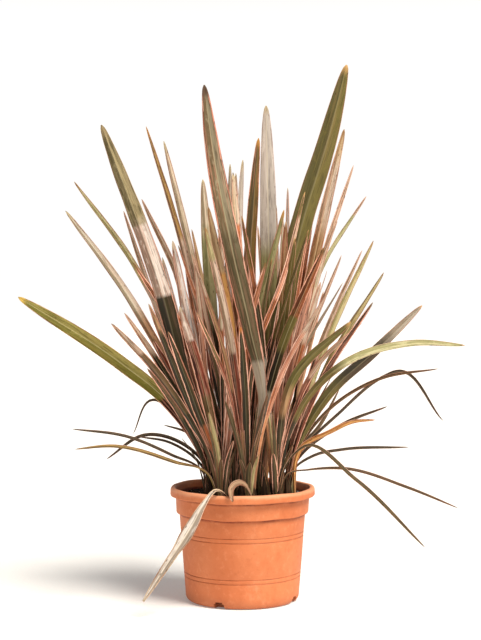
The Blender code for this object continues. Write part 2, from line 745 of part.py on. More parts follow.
def stem_tree(rings):
    return BVHTree.FromPolygons(*oval_body(rings))


def fuse(base, others):
    """Join a collection of blades to their crown and keep the one body that results."""
    plain = base.data
    for solver in ("EXACT", "MANIFOLD"):
        base.data = plain.copy()
        modifier = base.modifiers.new("join", "BOOLEAN")
        modifier.operation = "UNION"
        modifier.operand_type = "COLLECTION"
        modifier.solver = solver
        modifier.collection = others
        apply_modifiers(base)
        if keep_body(base.data):
            break
    for old in list(others.objects):
        bpy.data.objects.remove(old, do_unlink=True)
    bpy.data.collections.remove(others)
    return base


def keep_body(mesh):
    """Drop loose scraps and the skins of sealed hollows: only the largest body stays."""
    work = bmesh.new()
    work.from_mesh(mesh)
    bmesh.ops.triangulate(work, faces=work.faces)
    left = set(work.faces)
    bodies = []
    while left:
        stack = [left.pop()]
        body = set(stack)
        while stack:
            for edge in stack.pop().edges:
                for face in edge.link_faces:
                    if face in left:
                        left.discard(face)
                        body.add(face)
                        stack.append(face)
        bodies.append(body)
    bodies.sort(key=len)
    loose = [face for body in bodies[:-1] for face in body]
    bmesh.ops.delete(work, geom=loose, context="FACES")
    closed = all(part.is_manifold for part in [*work.edges, *work.verts])
    work.to_mesh(mesh)
    work.free()
    return closed


def place_leaves():
    """Every leaf of every shoot, each clear of the other shoots, the pot and the dead leaves."""
    placed = [(name, stem_tree(crown_rings(name))) for name in SHOOTS]
    for name in DEAD_LEAVES:
        placed.append((name, stem_tree(stub_rings(name))))
        placed.append((name, BVHTree.FromPolygons(*blade(dead_leaf(name), CLEARANCE / 2))))
    own = {name: [] for name in SHOOTS}
    leaves = place_shown_leaves(placed, own)
    place_fill_leaves(placed, own, leaves)
    return leaves


def make_shoots(group):
    green = material("flax_leaf", (0.20, 0.19, 0.10), 0.5)
    leaves = place_leaves()
    for name in SHOOTS:
        blades = collection(name + "_blades")
        for k, leaf in enumerate(leaf for leaf in leaves if leaf["shoot"] == name):
            points, faces = blade(leaf)
            mesh_object(f"{name}_leaf_{k + 1}", points, faces, blades)
        fuse(oval_solid(name, crown_rings(name), group, green), blades)


def dead_leaf(name):
    (x, y), width, away, points = DEAD_LEAVES[name]
    root = Vector((x, y, SOIL_TOP - 0.006))
    path = [root, root + Vector((0.0, 0.0, 0.012))] + [Vector(point) for point in points]
    return {"path": path, "width": width / 1000, "outward": direction(away - 90), "facing": None,
            "segments": len(points) + 4, "torn": name == TORN_LEAF}


def make_dead_leaves(group):
    straw = material("dead_leaf", (0.55, 0.42, 0.27), 0.75)
    for name in DEAD_LEAVES:
        blades = collection(name + "_blade")
        points, faces = blade(dead_leaf(name))
        mesh_object(name + "_leaf", points, faces, blades)
        fuse(oval_solid(name, stub_rings(name), group, straw), blades)


def main():
    clear_scene()
    model = collection("potted_flax")
    cutters = collection("cutters")
    make_pot(model, cutters)
    make_soil(model, cutters)
    make_shoots(model)
    make_dead_leaves(model)


main()
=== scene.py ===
"""The looks of a New Zealand flax in its nursery pot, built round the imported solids. Metres, +Z up, the
front toward -Y. The leaves follow the same lines as the solids' leaves, from the same named values."""

import math
import random
from itertools import product

import bmesh
import bpy
from mathutils import Matrix, Quaternion, Vector, noise
from mathutils.bvhtree import BVHTree


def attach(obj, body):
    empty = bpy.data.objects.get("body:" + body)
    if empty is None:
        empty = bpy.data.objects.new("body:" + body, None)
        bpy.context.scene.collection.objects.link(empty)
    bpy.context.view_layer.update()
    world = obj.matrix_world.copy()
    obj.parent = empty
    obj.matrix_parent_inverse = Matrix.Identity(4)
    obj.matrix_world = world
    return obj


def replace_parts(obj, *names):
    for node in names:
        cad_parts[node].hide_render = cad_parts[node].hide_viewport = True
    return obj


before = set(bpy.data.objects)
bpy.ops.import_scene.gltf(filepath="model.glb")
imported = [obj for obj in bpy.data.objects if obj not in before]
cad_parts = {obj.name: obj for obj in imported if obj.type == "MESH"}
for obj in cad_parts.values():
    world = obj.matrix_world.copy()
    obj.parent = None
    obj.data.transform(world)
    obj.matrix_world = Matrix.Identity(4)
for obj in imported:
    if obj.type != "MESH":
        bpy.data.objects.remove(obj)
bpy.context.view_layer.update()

# The pot
POT_HEIGHT = 0.187
RIM_RADIUS = 0.120
RIM_DEPTH = 0.014
COLLAR_RADIUS = 0.111
COLLAR_FOOT = 0.1445
SHOULDER_RADIUS = 0.1045
HEEL_RADIUS = 0.094
HEEL_ROUND = 0.009
WALL = 0.0022
FLOOR_LIFT = 0.004
HUB_RADIUS = 0.040
FOOT_WIDTH = 0.009
BAND_HEIGHTS = (0.041, 0.108)
BAND_WIDTH = 0.007
BAND_DEPTH = 0.0006
NOTCH_WIDTH = 0.018
NOTCH_HEIGHT = 0.0110
NOTCH_ROUND = 0.0028
NOTCH_DEPTH = 0.030
NOTCH_ANGLE = 66.0
NOTCHES = 4
FINE_STEPS = 160
SMOOTH_ANGLE = 38
# Painted shade on the pot: how strongly the creases under the rim and the collar are darkened, how far that
# reaches, and how wide the darkened band grooves are
SEAM_SHADE = 2.4
COLLAR_SHADE_REACH = 0.0041
RIM_SHADE_REACH = 0.0044
GROOVE_SHADE_SPREAD = 0.0012

# The potting mix
SOIL_TOP = 0.172
SOIL_LUMP = 0.0022
SOIL_EDGE = COLLAR_RADIUS - WALL - 0.0012
SOIL_DOME = 0.002
SOIL_RINGS = 56
SOIL_TURNS = 180
CRUMBS = 900
CRUMB_RELIEF = 0.0016
CRUMB_SIZES = (0.0010, 0.0014, 0.0019, 0.0026)
GRIT_SHARE = 0.04
GAP = 0.0004
HOLE_FLOOR = 0.112
STEM_RISE = 0.006
STEM_DRAWN = (0.66, 0.5)
SHALLOW_FLOOR = 0.150

# The shoots: each one's place in the pot, the direction its two ranks of leaves spread in, and how many
# leaves the ranks hold
CROWN_LONG = 0.0165
CROWN_SHORT = 0.0115
CROWN_TOP = 0.206
CROWN_SIDES = 10
CROWN_CORE_INSET = 0.003
CROWN_CORE_DEPTH = 0.008
CROWN_CORE_LEVELS = 9
CROWN_CORE_SIDES = 28
SHOOTS = {
    "shoot_front_left": (-0.035, -0.055, 30, 12),
    "shoot_front": (0.010, -0.062, 5, 12),
    "shoot_front_right": (0.054, -0.052, -30, 12),
    "shoot_left": (-0.053, -0.010, 75, 12),
    "shoot_mid_left": (-0.013, -0.016, 15, 11),
    "shoot_mid_right": (0.030, -0.011, -10, 11),
    "shoot_right": (0.074, -0.003, 95, 12),
    "shoot_back_left": (-0.032, 0.036, -35, 12),
    "shoot_back": (0.011, 0.040, 10, 12),
    "shoot_back_right": (0.054, 0.042, 40, 12),
}

# A leaf's blade
ROOT_WIDTH = 0.0115
THICK_ROOT = 0.0010
THICK_TIP = 0.0007
FOLD_ROOT = 60.0
FOLD_OPEN = 17.0
ROOT_HEIGHT = 0.186
ROOT_INSET = 0.005
EXIT_HEIGHT = 0.216
EXIT_AIM = 0.8
TWIST_FROM = 0.04
TWIST_TO = 0.42
BASE_SEGMENTS = 2
WIDE_BLADE = 20
CLEARANCE = 0.0006
RIM_CLEAR = 0.002
LIP_CLEAR = 0.0015
COLLAR_CLEAR = 0.004
GROUND_CLEAR = 0.006
MIX_CLEAR = 0.005
PACKED_TOP = 0.246
TIP_BIAS = 0.2
TIP_SHARE = 0.12
UP = Vector((0.0, 0.0, 1.0))

# The leaves that show: the shoot, the width in millimetres, the way the blade faces in degrees round from
# the front, its looks from the tip down, and the points it passes after it leaves the shoot, in millimetres
# and with its tip last. A look takes over below the height before it, in metres, and a slash gives how
# softly.
LEAVES = [
    ("shoot_mid_right", 40, 12, "olive 0.42 night", (55, -15, 407), (97, -30, 617), (140, -38, 760),
     (169, -45, 877)),
    ("shoot_front", 32, -8, "grey 0.60/0.05 slate 0.405 ash 0.30/0.02 moor", (35, -105, 339), (13, -130, 451),
     (-19, -145, 591), (-46, -155, 733), (-59, -160, 830)),
    ("shoot_back", 31, 5, "silver 0.585/0.03 sage 0.50/0.02 olive", (46, 35, 367), (45, 35, 517),
     (40, 50, 822)),
    ("shoot_mid_right", 24, 25, "bronze", (24, -12, 414), (13, -8, 529), (18, -4, 644), (27, 0, 763)),
    ("shoot_front_left", 32, -20, "khaki 0.62 bleached 0.503 night", (-95, -65, 377), (-127, -80, 502),
     (-224, -95, 775)),
    ("shoot_mid_left", 16, 30, "silver 0.56 coral 0.34 wine", (-9, -30, 349), (-9, -35, 529), (1, -30, 725)),
    ("shoot_back", 15, -30, "sand", (-22, 70, 407), (-21, 100, 728)),
    ("shoot_mid_left", 22, -10, "sand 0.61/0.02 lime 0.46/0.02 night", (-40, 10, 337), (-52, 20, 482),
     (-66, 30, 697)),
    ("shoot_mid_left", 15, -25, "sand 0.56 rose 0.40 night", (-72, -35, 517), (-128, -35, 755)),
    ("shoot_back_left", 13, -35, "amber 0.60 rose 0.48 wine", (-97, 30, 573), (-162, 50, 787)),
    ("shoot_left", 14, -30, "rose 0.55 bleached 0.40 night", (-99, 5, 516), (-168, 30, 664)),
    ("shoot_left", 13, -35, "straw 0.52 rose", (-180, 40, 554), (-284, 60, 695)),
    ("shoot_left", 17, -30, "sand 0.47/0.02 coral", (-184, -10, 495), (-292, 0, 643)),
    ("shoot_front_left", 17, -40, "rose 0.41 moor 0.31 night", (-126, -60, 363), (-210, -80, 459)),
    ("shoot_left", 26, 10, "moss 0.33 wine 0.262 fresh", (-128, 25, 328), (-206, 35, 391), (-378, 50, 500)),
    ("shoot_back_left", 12, -30, "rose", (-139, 70, 463), (-203, 90, 647)),
    ("shoot_back_left", 12, 40, "tan", (-51, 55, 430), (-86, 70, 615)),
    ("shoot_front_left", 14, 35, "rose 0.405 night", (-127, -35, 377), (-192, -40, 475)),
    ("shoot_back_right", 22, 20, "tan 0.735/0.02 rose 0.62/0.03 coral", (126, 45, 589), (171, 45, 782)),
    ("shoot_back_right", 12, 35, "rose 0.56 sand", (136, 70, 564), (190, 90, 725)),
    ("shoot_back_right", 14, 50, "rose 0.64 lime", (138, 55, 551), (214, 65, 673)),
    ("shoot_right", 14, 40, "straw", (153, 10, 458), (217, 5, 594)),
    ("shoot_back_right", 12, 45, "coral", (108, 90, 377), (141, 120, 509)),
    ("shoot_front_right", 17, -15, "olive 0.35/0.02 coral 0.31 night", (84, -85, 375), (172, -105, 463)),
    ("shoot_front_right", 10, -30, "rose 0.37 wine", (123, -45, 392), (193, -50, 459)),
    ("shoot_right", 20, 15, "ash 0.430/0.02 char 0.360/0.02 olive", (144, -20, 344), (216, -20, 410),
     (295, -20, 487)),
    ("shoot_front_right", 14, 10, "mint 0.392/0.01 olive 0.30 night", (113, -55, 347), (170, -72, 398),
     (270, -90, 428), (354, -100, 425)),
    ("shoot_right", 6.5, 25, "husk", (136, 25, 304), (230, 35, 363), (329, 35, 380)),
    ("shoot_right", 6.5, 40, "char", (166, 55, 306), (240, 75, 364), (262, 80, 373), (345, 90, 287)),
    ("shoot_back_right", 11, 60, "husk", (131, 70, 278), (167, 100, 339)),
    ("shoot_right", 6.5, 10, "char", (166, 45, 284), (246, 55, 315)),
    ("shoot_front_right", 6.5, 0, "reed", (88, -80, 253), (100, -90, 263), (180, -112, 213),
     (286, -140, 110)),
    ("shoot_right", 5.5, 5, "char", (120, -12, 240), (164, -12, 249), (274, -20, 254)),
    ("shoot_front_right", 5.5, -10, "husk", (105, -48, 219), (162, -50, 223), (268, -60, 193),
     (348, -70, 161)),
    ("shoot_left", 5.5, 0, "char", (-116, -35, 243), (-187, -45, 274), (-277, -50, 287)),
    ("shoot_front_left", 6.5, -10, "thatch", (-108, -70, 235), (-207, -85, 263), (-267, -95, 259)),
    ("shoot_left", 6.5, 20, "char", (-100, 25, 255), (-160, 35, 269), (-229, 40, 227)),
    ("shoot_left", 5, 30, "char", (-120, 5, 259), (-174, 5, 269)),
    ("shoot_back_left", 5.5, 20, "char", (-112, 60, 297), (-150, 70, 325), (-187, 85, 265)),
    ("shoot_back_left", 5, -20, "char", (-90, 55, 269), (-134, 62, 283)),
    ("shoot_front", 10, 20, "olive 0.63 rose 0.585 flesh 0.50 rust 0.42 night", (23, -80, 417),
     (65, -70, 529), (101, -60, 671)),
    ("shoot_front_left", 9, 0, "sand 0.35 flesh", (-23, -75, 336), (-21, -85, 503)),
    ("shoot_front_left", 20, -10, "bleached 0.435 wine 0.345 moor 0.27 rust", (-62, -75, 357),
     (-100, -90, 487)),
    ("shoot_front_left", 18, 15, "bleached 0.42 tan 0.36 night", (-78, -60, 407), (-112, -70, 592)),
    ("shoot_front_right", 18, 20, "flesh 0.36 wine", (75, -65, 367), (112, -80, 527)),
    ("shoot_front_right", 16, -20, "olive 0.42 rust 0.365 flesh", (62, -70, 407), (85, -85, 597)),
    ("shoot_front_left", 15, -30, "coral 0.445/0.01 night", (-98, -60, 357), (-150, -70, 491)),
    ("shoot_left", 14, -20, "wine", (-98, -20, 337), (-146, -30, 432)),
    ("shoot_left", 13, -25, "moor 0.30 night", (-105, -30, 312), (-155, -40, 385)),
    ("shoot_front_left", 14, 20, "night 0.295 rust", (-75, -68, 327), (-118, -85, 447)),
    ("shoot_back_left", 14, -15, "bleached 0.40 wine", (-100, 45, 427), (-135, 55, 567)),
    ("shoot_mid_right", 17, 30, "olive 0.40 peach", (60, -20, 377), (88, -30, 547)),
    ("shoot_back_right", 15, 10, "rust", (80, 50, 407), (120, 60, 647)),
]

# The leaves that fill the shoots out, placed by rule
FILL_LEAN = 24.0
FILL_ASIDE = 13
FILL_LENGTHS = (0.30, 0.52)
FILL_WIDTHS = (9, 18)
SHOOT_LEAN = 9.0
FILL_SEGMENTS = 4
FILL_TRIES = 90
FILL_SEED = 11
DEPTH_BENDS = (0.5, 0.0, 0.9)
DEPTH_SHIFTS = (0.0, 0.015, -0.015, 0.03, -0.03, 0.045, -0.045, 0.065, -0.065, 0.09, -0.09)

# The dead leaves: place in the mix and width, both in millimetres, the way the keel lies round from the
# front, and points as above
DEAD_STUB = 0.0062
DEAD_ROOT = 0.006
STUB_TOP = 0.183
TORN_LEAF = "dead_leaf_over_rim"
DEAD_LEAVES = {
    "dead_leaf_over_rim": ((-26, -92), 21, -70, (-34, -104, 191), (-44, -120, 195), (-60, -138, 178),
        (-80, -143, 142), (-118, -149, 84), (-155, -152, 27)),
    "dead_leaf_curled": ((12, -93), 11, -100, (10, -96, 190), (6, -101, 200), (-4, -106, 206.5),
        (-13, -110.5, 204), (-18, -116.5, 196.5), (-17.8, -123.2, 189), (-15, -127, 179)),
    "dead_leaf_fallen": ((85, -40), 9, -5, (96, -56, 257), (140, -75, 284), (175, -82, 301), (213, -85, 305)),
}

# The fine leaves: steps along and places across a blade, how far its root runs down past the solid's, and
# how its keel, edges and waves are shaped
STEP = 0.0065
FEWEST_STEPS = 30
ROOT_STEPS = 3
ROOT_STEP = 0.008
COLUMNS = (-1.0, -0.9, -0.66, -0.36, -0.1, 0.0, 0.1, 0.36, 0.66, 0.9, 1.0)
KEEL_ROUND = 0.09
KEEL_RIDGE = 0.0005
EDGE_CURL = 0.09
WAVE = 0.05
SWAY = 4.0
SWAY_PACE = 17
NEAR_TIP = 0.9995
THINNEST = 0.02
THINNER = 0.8
# How far up from the root the blade takes the bases' own tint and the painted shade at its foot
ROOT_TINT_AND_SHADE = 0.22
BELLY = 0.05

# The colours of the leaves, tuned by comparing renders with the photo: the darker and the paler half of the
# blade, its margins, how wide these are in millimetres, how far their colour runs in over the blade in
# streaks, and the tip
COLOURS = {
    "olive": ("564c22", "706434", "c49071", 0.7, 0.08, "be9660"),
    "grey": ("766246", "aa9c7e", "d89076", 2.0, 0.3, "604a3a"),
    "silver": ("aa9c90", "c4b8ac", "caa68f", 0.6, 0.06, "b09c7c"),
    "bronze": ("463414", "6a5026", "cf8c6e", 1.2, 0.3, "b07c3e"),
    "dark": ("2c2414", "4e4226", "f8b69a", 1.6, 0.08, "80603c"),
    "khaki": ("5c502c", "aa9c76", "b49874", 0.8, 0.22, "9c8864"),
    "coral": ("724c2a", "b48a62", "d69677", 1.5, 0.42, "bea082"),
    "rose": ("8e7056", "d0b6a0", "deae94", 1.4, 0.42, "be967c"),
    "sand": ("a89476", "deccb4", "d1a388", 1.0, 0.3, "c4b08c"),
    "amber": ("76562c", "b68e56", "d29674", 1.1, 0.32, "c88a42"),
    "moss": ("645e22", "8e8448", "c4a165", 0.9, 0.12, "ceaa54"),
    "lime": ("8c8a58", "bab488", "cfaf8a", 0.8, 0.16, "ce9876"),
    "straw": ("928454", "c8b886", "c99e77", 0.8, 0.25, "a87e50"),
    "reed": ("3e321c", "685838", "a47a5a", 0.7, 0.15, "6e5436"),
    "cream": ("a49484", "ded2c6", "d0b89a", 1.4, 0.24, "c4b094"),
    "tan": ("9c7852", "ccac84", "c89e74", 1.2, 0.3, "926c46"),
    "ochre": ("b06e36", "dea662", "da905c", 1.2, 0.35, "b8723c"),
    "husk": ("3a2a1c", "6a5236", "92684c", 0.8, 0.25, "5c4632"),
    # Near-black lower stretch: partly the dark colour of leaf bases, partly painted shade in the packed lower
    # clump
    "night": ("1c160a", "3e3620", "f8b69a", 1.6, 0.05, "80603c"),
    "moor": ("42321a", "6e5636", "f8b69a", 1.6, 0.1, "80603c"),
    "rust": ("502812", "a85e38", "f4ae90", 1.6, 0.4, "80603c"),
    "wine": ("2e120a", "7a3826", "f8b69a", 1.6, 0.28, "80603c"),
    "ember": ("7e3e22", "ce7a50", "f8b494", 1.8, 0.5, "b8723c"),
    "flesh": ("ac684e", "eca88a", "fac8b0", 1.8, 0.5, "c69660"),
    "peach": ("c87c4e", "fac08e", "e3ae8e", 1.5, 0.4, "c69660"),
    "ash": ("9a8a76", "beb09e", "d4a188", 0.9, 0.1, "c69660"),
    "slate": ("484028", "6e6246", "d68e74", 2.0, 0.14, "ac8256"),
    "sage": ("7a7448", "a69c6c", "d4a184", 1.0, 0.12, "b8884c"),
    # Painted highlight: a pale stretch where a glossy blade's bend reflects the white sky
    "bleached": ("967a6a", "f2e6dc", "d6a48e", 1.4, 0.45, "c4b094"),
    "fresh": ("54681c", "84923e", "b0965c", 0.6, 0.1, "968c50"),
    "parch": ("70543e", "a8866a", "be9a7e", 1.0, 0.3, "8c6848"),
    "mint": ("aaa874", "dcd8aa", "e2c8a0", 0.8, 0.12, "deb092"),
    "char": ("2a221a", "584a3a", "7e6450", 0.6, 0.1, "5c4632"),
    "thatch": ("5c4824", "967a48", "a07c52", 0.7, 0.2, "6e5436"),
}
LOW_LOOKS = ("dark", "reed", "husk", "dark", "straw", "reed")
LOW_BLADES = 7
LOW_TRIES = 40
LOW_ROOT = 0.004
LOW_KNEE = 0.02
LOW_LENGTHS = (0.05, 0.19)
LOW_WIDTHS = (0.0055, 0.011)
LOOK_FADE = 0.004
LOOK_JITTER = 0.004

# The looks of the filling leaves that show at the front, by shoot and slot
SEEN_LOOKS = {
    "shoot_front_left": {
        9: "sand 0.45 rust 0.39 night", 10: "ember", 11: "rust 0.46 night 0.34 sand 0.29 flesh"},
    "shoot_front": {
        0: "moor 0.40 wine", 1: "rose 0.50 coral 0.35 wine", 2: "straw 0.56 rose 0.41 wine 0.29 coral",
        3: "tan 0.54 ochre 0.44 ember 0.35 wine", 4: "ember 0.46 night", 5: "sand 0.62 ember",
        7: "sage 0.47 night", 9: "olive 0.43 night",
        10: "rust 0.475 olive 0.415 night 0.35 ash 0.27 moor 0.22 night",
        11: "rose 0.45 flesh 0.36 ember 0.31 peach"},
    "shoot_front_right": {
        0: "peach", 1: "coral 0.49 olive 0.43 night 0.36 ember 0.25 night",
        2: "bronze 0.55 rust 0.49 night 0.405 ash 0.29 flesh 0.24 peach", 3: "rust",
        4: "rose 0.43 rust 0.38 night"},
    "shoot_left": {2: "rose 0.46 flesh 0.25 night", 9: "rust"},
    "shoot_mid_left": {
        0: "rust 0.41 night", 1: "rust 0.36 flesh", 2: "rust 0.47 moor 0.30 night", 6: "wine",
        7: "sand 0.50 wine", 8: "sage 0.47 night", 9: "sage", 10: "rust"},
    "shoot_mid_right": {
        3: "rust", 4: "night", 6: "flesh 0.45 night 0.27 peach", 9: "rose 0.40 peach", 10: "sand 0.30 ochre"},
    "shoot_right": {
        1: "wine", 2: "rose 0.40 wine", 4: "rose 0.38 night", 5: "straw 0.36 night", 7: "moor 0.35 night",
        8: "bleached 0.45 night"},
    "shoot_back_right": {0: "rose", 1: "sand", 2: "sand", 3: "rose", 5: "rose"},
}
FILL_LOOKS = ("bronze 0.40 night", "dark", "coral 0.42 wine", "olive 0.38 night", "rose 0.40 moor",
              "grey 0.42 night", "coral 0.40 rust", "moor 0.36 night")
DEAD_LOOKS = {"dead_leaf_over_rim": "cream", "dead_leaf_curled": "parch", "dead_leaf_fallen": "ochre"}


# Where the leaves run
def metres(points):
    return [tuple(part / 1000 for part in point) for point in points]


def arc(centre, radius, start, end, count):
    """Points of a round corner in the pot's section, angles in degrees."""
    angles = [math.radians(start + (end - start) * k / count) for k in range(count + 1)]
    return [(centre[0] + radius * math.cos(a), centre[1] + radius * math.sin(a)) for a in angles]


def outer_radius(height):
    """The pot's body tapers straight from the shoulder to the heel."""
    span = COLLAR_FOOT - HEEL_ROUND
    return HEEL_RADIUS + (SHOULDER_RADIUS - HEEL_RADIUS) * (height - HEEL_ROUND) / span


def oval_points(centre, long, short, angle, height, sides=CROWN_SIDES):
    turn = math.radians(angle)
    ring = []
    for k in range(sides):
        phase = 2 * math.pi * k / sides
        x = long * math.cos(phase)
        y = short * math.sin(phase)
        ring.append(Vector((
            centre[0] + x * math.cos(turn) - y * math.sin(turn),
            centre[1] + x * math.sin(turn) + y * math.cos(turn),
            height)))
    return ring


def ring_faces(first, sides, levels):
    """Four-sided faces between rings of points, the lowest ring from the point numbered first."""
    faces = []
    for low in range(first, first + (levels - 1) * sides, sides):
        for k in range(sides):
            after = (k + 1) % sides
            faces.append((low + k, low + after, low + sides + after, low + sides + k))
    return faces


def oval_body(rings):
    """The points and faces of a closed body lofted through rings from the lowest up."""
    sides = len(rings[0])
    points = [point for ring in rings for point in ring]
    faces = [list(range(sides))[::-1], [len(points) - sides + k for k in range(sides)]]
    return points, faces + ring_faces(0, sides, len(rings))


def soil_height(x, y):
    """Lumps on the surface of the mix."""
    wave = math.sin(x * 170 + 1.3) * math.cos(y * 150 - 0.4) + 0.6 * math.sin(x * 61 - y * 97)
    return SOIL_LUMP * wave * 0.5


def smooth_path(points, count):
    """Steps along a smooth curve through the points."""
    line = [points[0]]
    for k in range(len(points) - 1):
        before = points[max(k - 1, 0)]
        start, end = points[k], points[k + 1]
        after = points[min(k + 2, len(points) - 1)]
        span = (end - start).length
        leave = tangent(before, start, end) * span
        arrive = tangent(start, end, after) * span
        for step in range(1, 13):
            t = step / 12
            line.append(hermite(start, leave, end, arrive, t))
    return even_steps(line, count)


def tangent(before, here, after):
    """The direction at a point, leaning to its shorter side."""
    if (here - before).length < 1e-9:
        return (after - here).normalized()
    if (after - here).length < 1e-9:
        return (here - before).normalized()
    back, on = here - before, after - here
    return (back.normalized() * on.length + on.normalized() * back.length).normalized()


def hermite(start, leave, end, arrive, t):
    a = 2 * t ** 3 - 3 * t ** 2 + 1
    b = t ** 3 - 2 * t ** 2 + t
    c = -2 * t ** 3 + 3 * t ** 2
    d = t ** 3 - t ** 2
    return start * a + leave * b + end * c + arrive * d


def even_steps(line, count):
    """Points along the line, a little closer together toward its end."""
    lengths = [0.0]
    for k in range(1, len(line)):
        lengths.append(lengths[-1] + (line[k] - line[k - 1]).length)
    steps = []
    k = 1
    for step in range(count + 1):
        share = step / count
        reach = lengths[-1] * (share + TIP_BIAS * share * (1 - share))
        while k < len(line) - 1 and lengths[k] < reach:
            k += 1
        part = (reach - lengths[k - 1]) / (lengths[k] - lengths[k - 1])
        steps.append(line[k - 1].lerp(line[k], min(part, 1.0)))
    return steps


def blade_width(t, width):
    """A blade's width along its length, as a share of its greatest: narrow blades are widest low down."""
    sheath = max(0.5, min(0.95, ROOT_WIDTH / width))
    root = sheath + (1 - sheath) * min(1.0, t / 0.45)
    taper = 1.62 * max(1 - t, 0.0) ** 0.425
    return root * taper / (1 + taper ** 10) ** 0.1


def torn_width(t):
    """The torn blade's share of its width: widest before its middle, then drawn out to its tip."""
    grown = 0.36 + 0.64 * ease(0.20, 0.46, t)
    torn = 1 - 0.35 * ease(0.47, 0.62, t)
    return grown * torn * (1 - 0.75 * max(0.0, (t - 0.62) / 0.38) ** 1.8)


def ease(low, high, value):
    part = min(max((value - low) / (high - low), 0.0), 1.0)
    return part * part * (3 - 2 * part)


def headings_along(line):
    last = len(line) - 1
    return [(line[min(k + 1, last)] - line[max(k - 1, 0)]).normalized() for k in range(last + 1)]


def square_to(vector, heading):
    return (vector - heading * vector.dot(heading)).normalized()


def keels_along(headings, outward, facing):
    """The keel's side of the blade: outward at the root, carried along, and twisted to its facing."""
    keels = [square_to(outward, headings[0])]
    for before, heading in zip(headings, headings[1:]):
        keels.append(square_to(before.rotation_difference(heading) @ keels[-1], heading))
    if facing is None:
        return keels
    last = len(headings) - 1
    check = round(TWIST_TO * last)
    wish = square_to(facing, headings[check])
    twist = keels[check].angle(wish)
    if headings[check].dot(keels[check].cross(wish)) < 0:
        twist = -twist
    return [Quaternion(heading, twist * ease(TWIST_FROM, TWIST_TO, k / last)) @ keel
            for k, (heading, keel) in enumerate(zip(headings, keels))]


def fold_at(t):
    """Half the angle that the blade is folded by."""
    return math.radians(FOLD_ROOT + (FOLD_OPEN - FOLD_ROOT) * ease(0.02, 0.34, t))


def share_of_width(leaf, t):
    return torn_width(t) if leaf.get("torn") else blade_width(t, leaf["width"])


def blade_rings(leaf, segments, grow):
    """The blade's cross-sections: a folded V that opens as it rises, six points each."""
    line = smooth_path(leaf["path"], segments)
    rings = []
    headings = headings_along(line)
    keels = keels_along(headings, leaf["outward"], leaf["facing"])
    for k, point in enumerate(line):
        t = k / segments
        keel = keels[k]
        across = headings[k].cross(keel)
        fold = fold_at(t)
        half = leaf["width"] / 2 * max(share_of_width(leaf, t), TIP_SHARE) + grow
        thick = THICK_ROOT + (THICK_TIP - THICK_ROOT) * t + 2 * grow
        back = point + keel * grow
        side = across * math.cos(fold) * half
        rise = -keel * math.sin(fold) * half
        inset = across * math.sin(fold) * thick
        lift = -keel * math.cos(fold) * thick
        middle = back - keel * thick / math.cos(fold)
        left, right = back - side + rise, back + side + rise
        rings.append([left, back, right, right - inset + lift, middle, left + inset + lift])
    return rings


def blade_faces(levels):
    """Triangles between the sections, split alike on both faces of the blade."""
    faces = []
    for level in range(levels - 1):
        a, b = level * 6, level * 6 + 6
        for j in range(6):
            after = (j + 1) % 6
            if j in (3, 4):
                faces += [(a + j, a + after, b + j), (a + after, b + after, b + j)]
            else:
                faces += [(a + j, a + after, b + after), (a + j, b + after, b + j)]
    end = (levels - 1) * 6
    faces += [(0, 5, 4), (0, 4, 1), (1, 4, 3), (1, 3, 2)]
    faces += [(end, end + 4, end + 5), (end, end + 1, end + 4)]
    faces += [(end + 1, end + 3, end + 4), (end + 1, end + 2, end + 3)]
    return faces


def blade(leaf, grow=0.0):
    rings = blade_rings(leaf, leaf["segments"], grow)
    return [point for ring in rings for point in ring], blade_faces(len(rings))


def clear_of_pot(points, place):
    """True where the blade stays off the mix, the rim, the wall and the ground."""
    for x, y, z in points:
        radius = math.hypot(x, y)
        near_root = math.hypot(x - place[0], y - place[1]) < CROWN_SHORT
        if radius > RIM_RADIUS + RIM_CLEAR:
            if z < GROUND_CLEAR:
                return False
        elif radius > COLLAR_RADIUS - COLLAR_CLEAR:
            if z < POT_HEIGHT + LIP_CLEAR:
                return False
        elif z < SOIL_TOP + MIX_CLEAR and not near_root:
            return False
    return True


def direction(angle):
    """A level direction, in degrees round from +X."""
    return Vector((math.cos(math.radians(angle)), math.sin(math.radians(angle)), 0.0))


def lean_of(shoot, target):
    """How far a leaf leans along its shoot's spread, in degrees from upright."""
    x, y, angle, _ = SHOOTS[shoot]
    aside = Vector((target[0] - x, target[1] - y, 0.0)).dot(direction(angle))
    return math.degrees(math.atan2(aside, max(target[2] - EXIT_HEIGHT, 0.01)))


def slots_for(leans, count):
    """Places in the two ranks, in the order of the leaves' leans, so that they open like a fan."""
    count = max(count, len(leans))
    order = sorted(range(len(leans)), key=lambda k: leans[k])
    slots = {}
    for rank, k in enumerate(order):
        share = max(-1.0, min(1.0, leans[k] / FILL_LEAN))
        wish = round((share + 1) / 2 * (count - 1))
        lowest = slots[order[rank - 1]] + 1 if rank else 0
        highest = count - (len(order) - rank)
        slots[k] = max(lowest, min(highest, wish))
    return [slots[k] for k in range(len(leans))], count


def shoot_leaf(shoot, slot, count, width, facing, points):
    """A leaf that leaves its shoot at a slot of the two ranks."""
    x, y, angle, _ = SHOOTS[shoot]
    spread = direction(angle)
    share = 2 * (slot + 0.5) / count - 1
    outward = spread if share >= 0 else -spread
    root = Vector((x, y, ROOT_HEIGHT)) + spread * share * (CROWN_LONG - ROOT_INSET)
    aim = (Vector(points[0]) - root).normalized()
    leave = root + (UP + aim * EXIT_AIM).normalized() * (EXIT_HEIGHT - ROOT_HEIGHT)
    look = direction(facing - 90)
    if look.dot(outward) < 0:
        look = -look
    path = [root, leave] + [Vector(point) for point in points]
    return {"path": path, "width": width / 1000, "outward": outward, "facing": look, "shoot": shoot,
            "segments": BASE_SEGMENTS + len(points) + (1 if width > WIDE_BLADE else 0)}


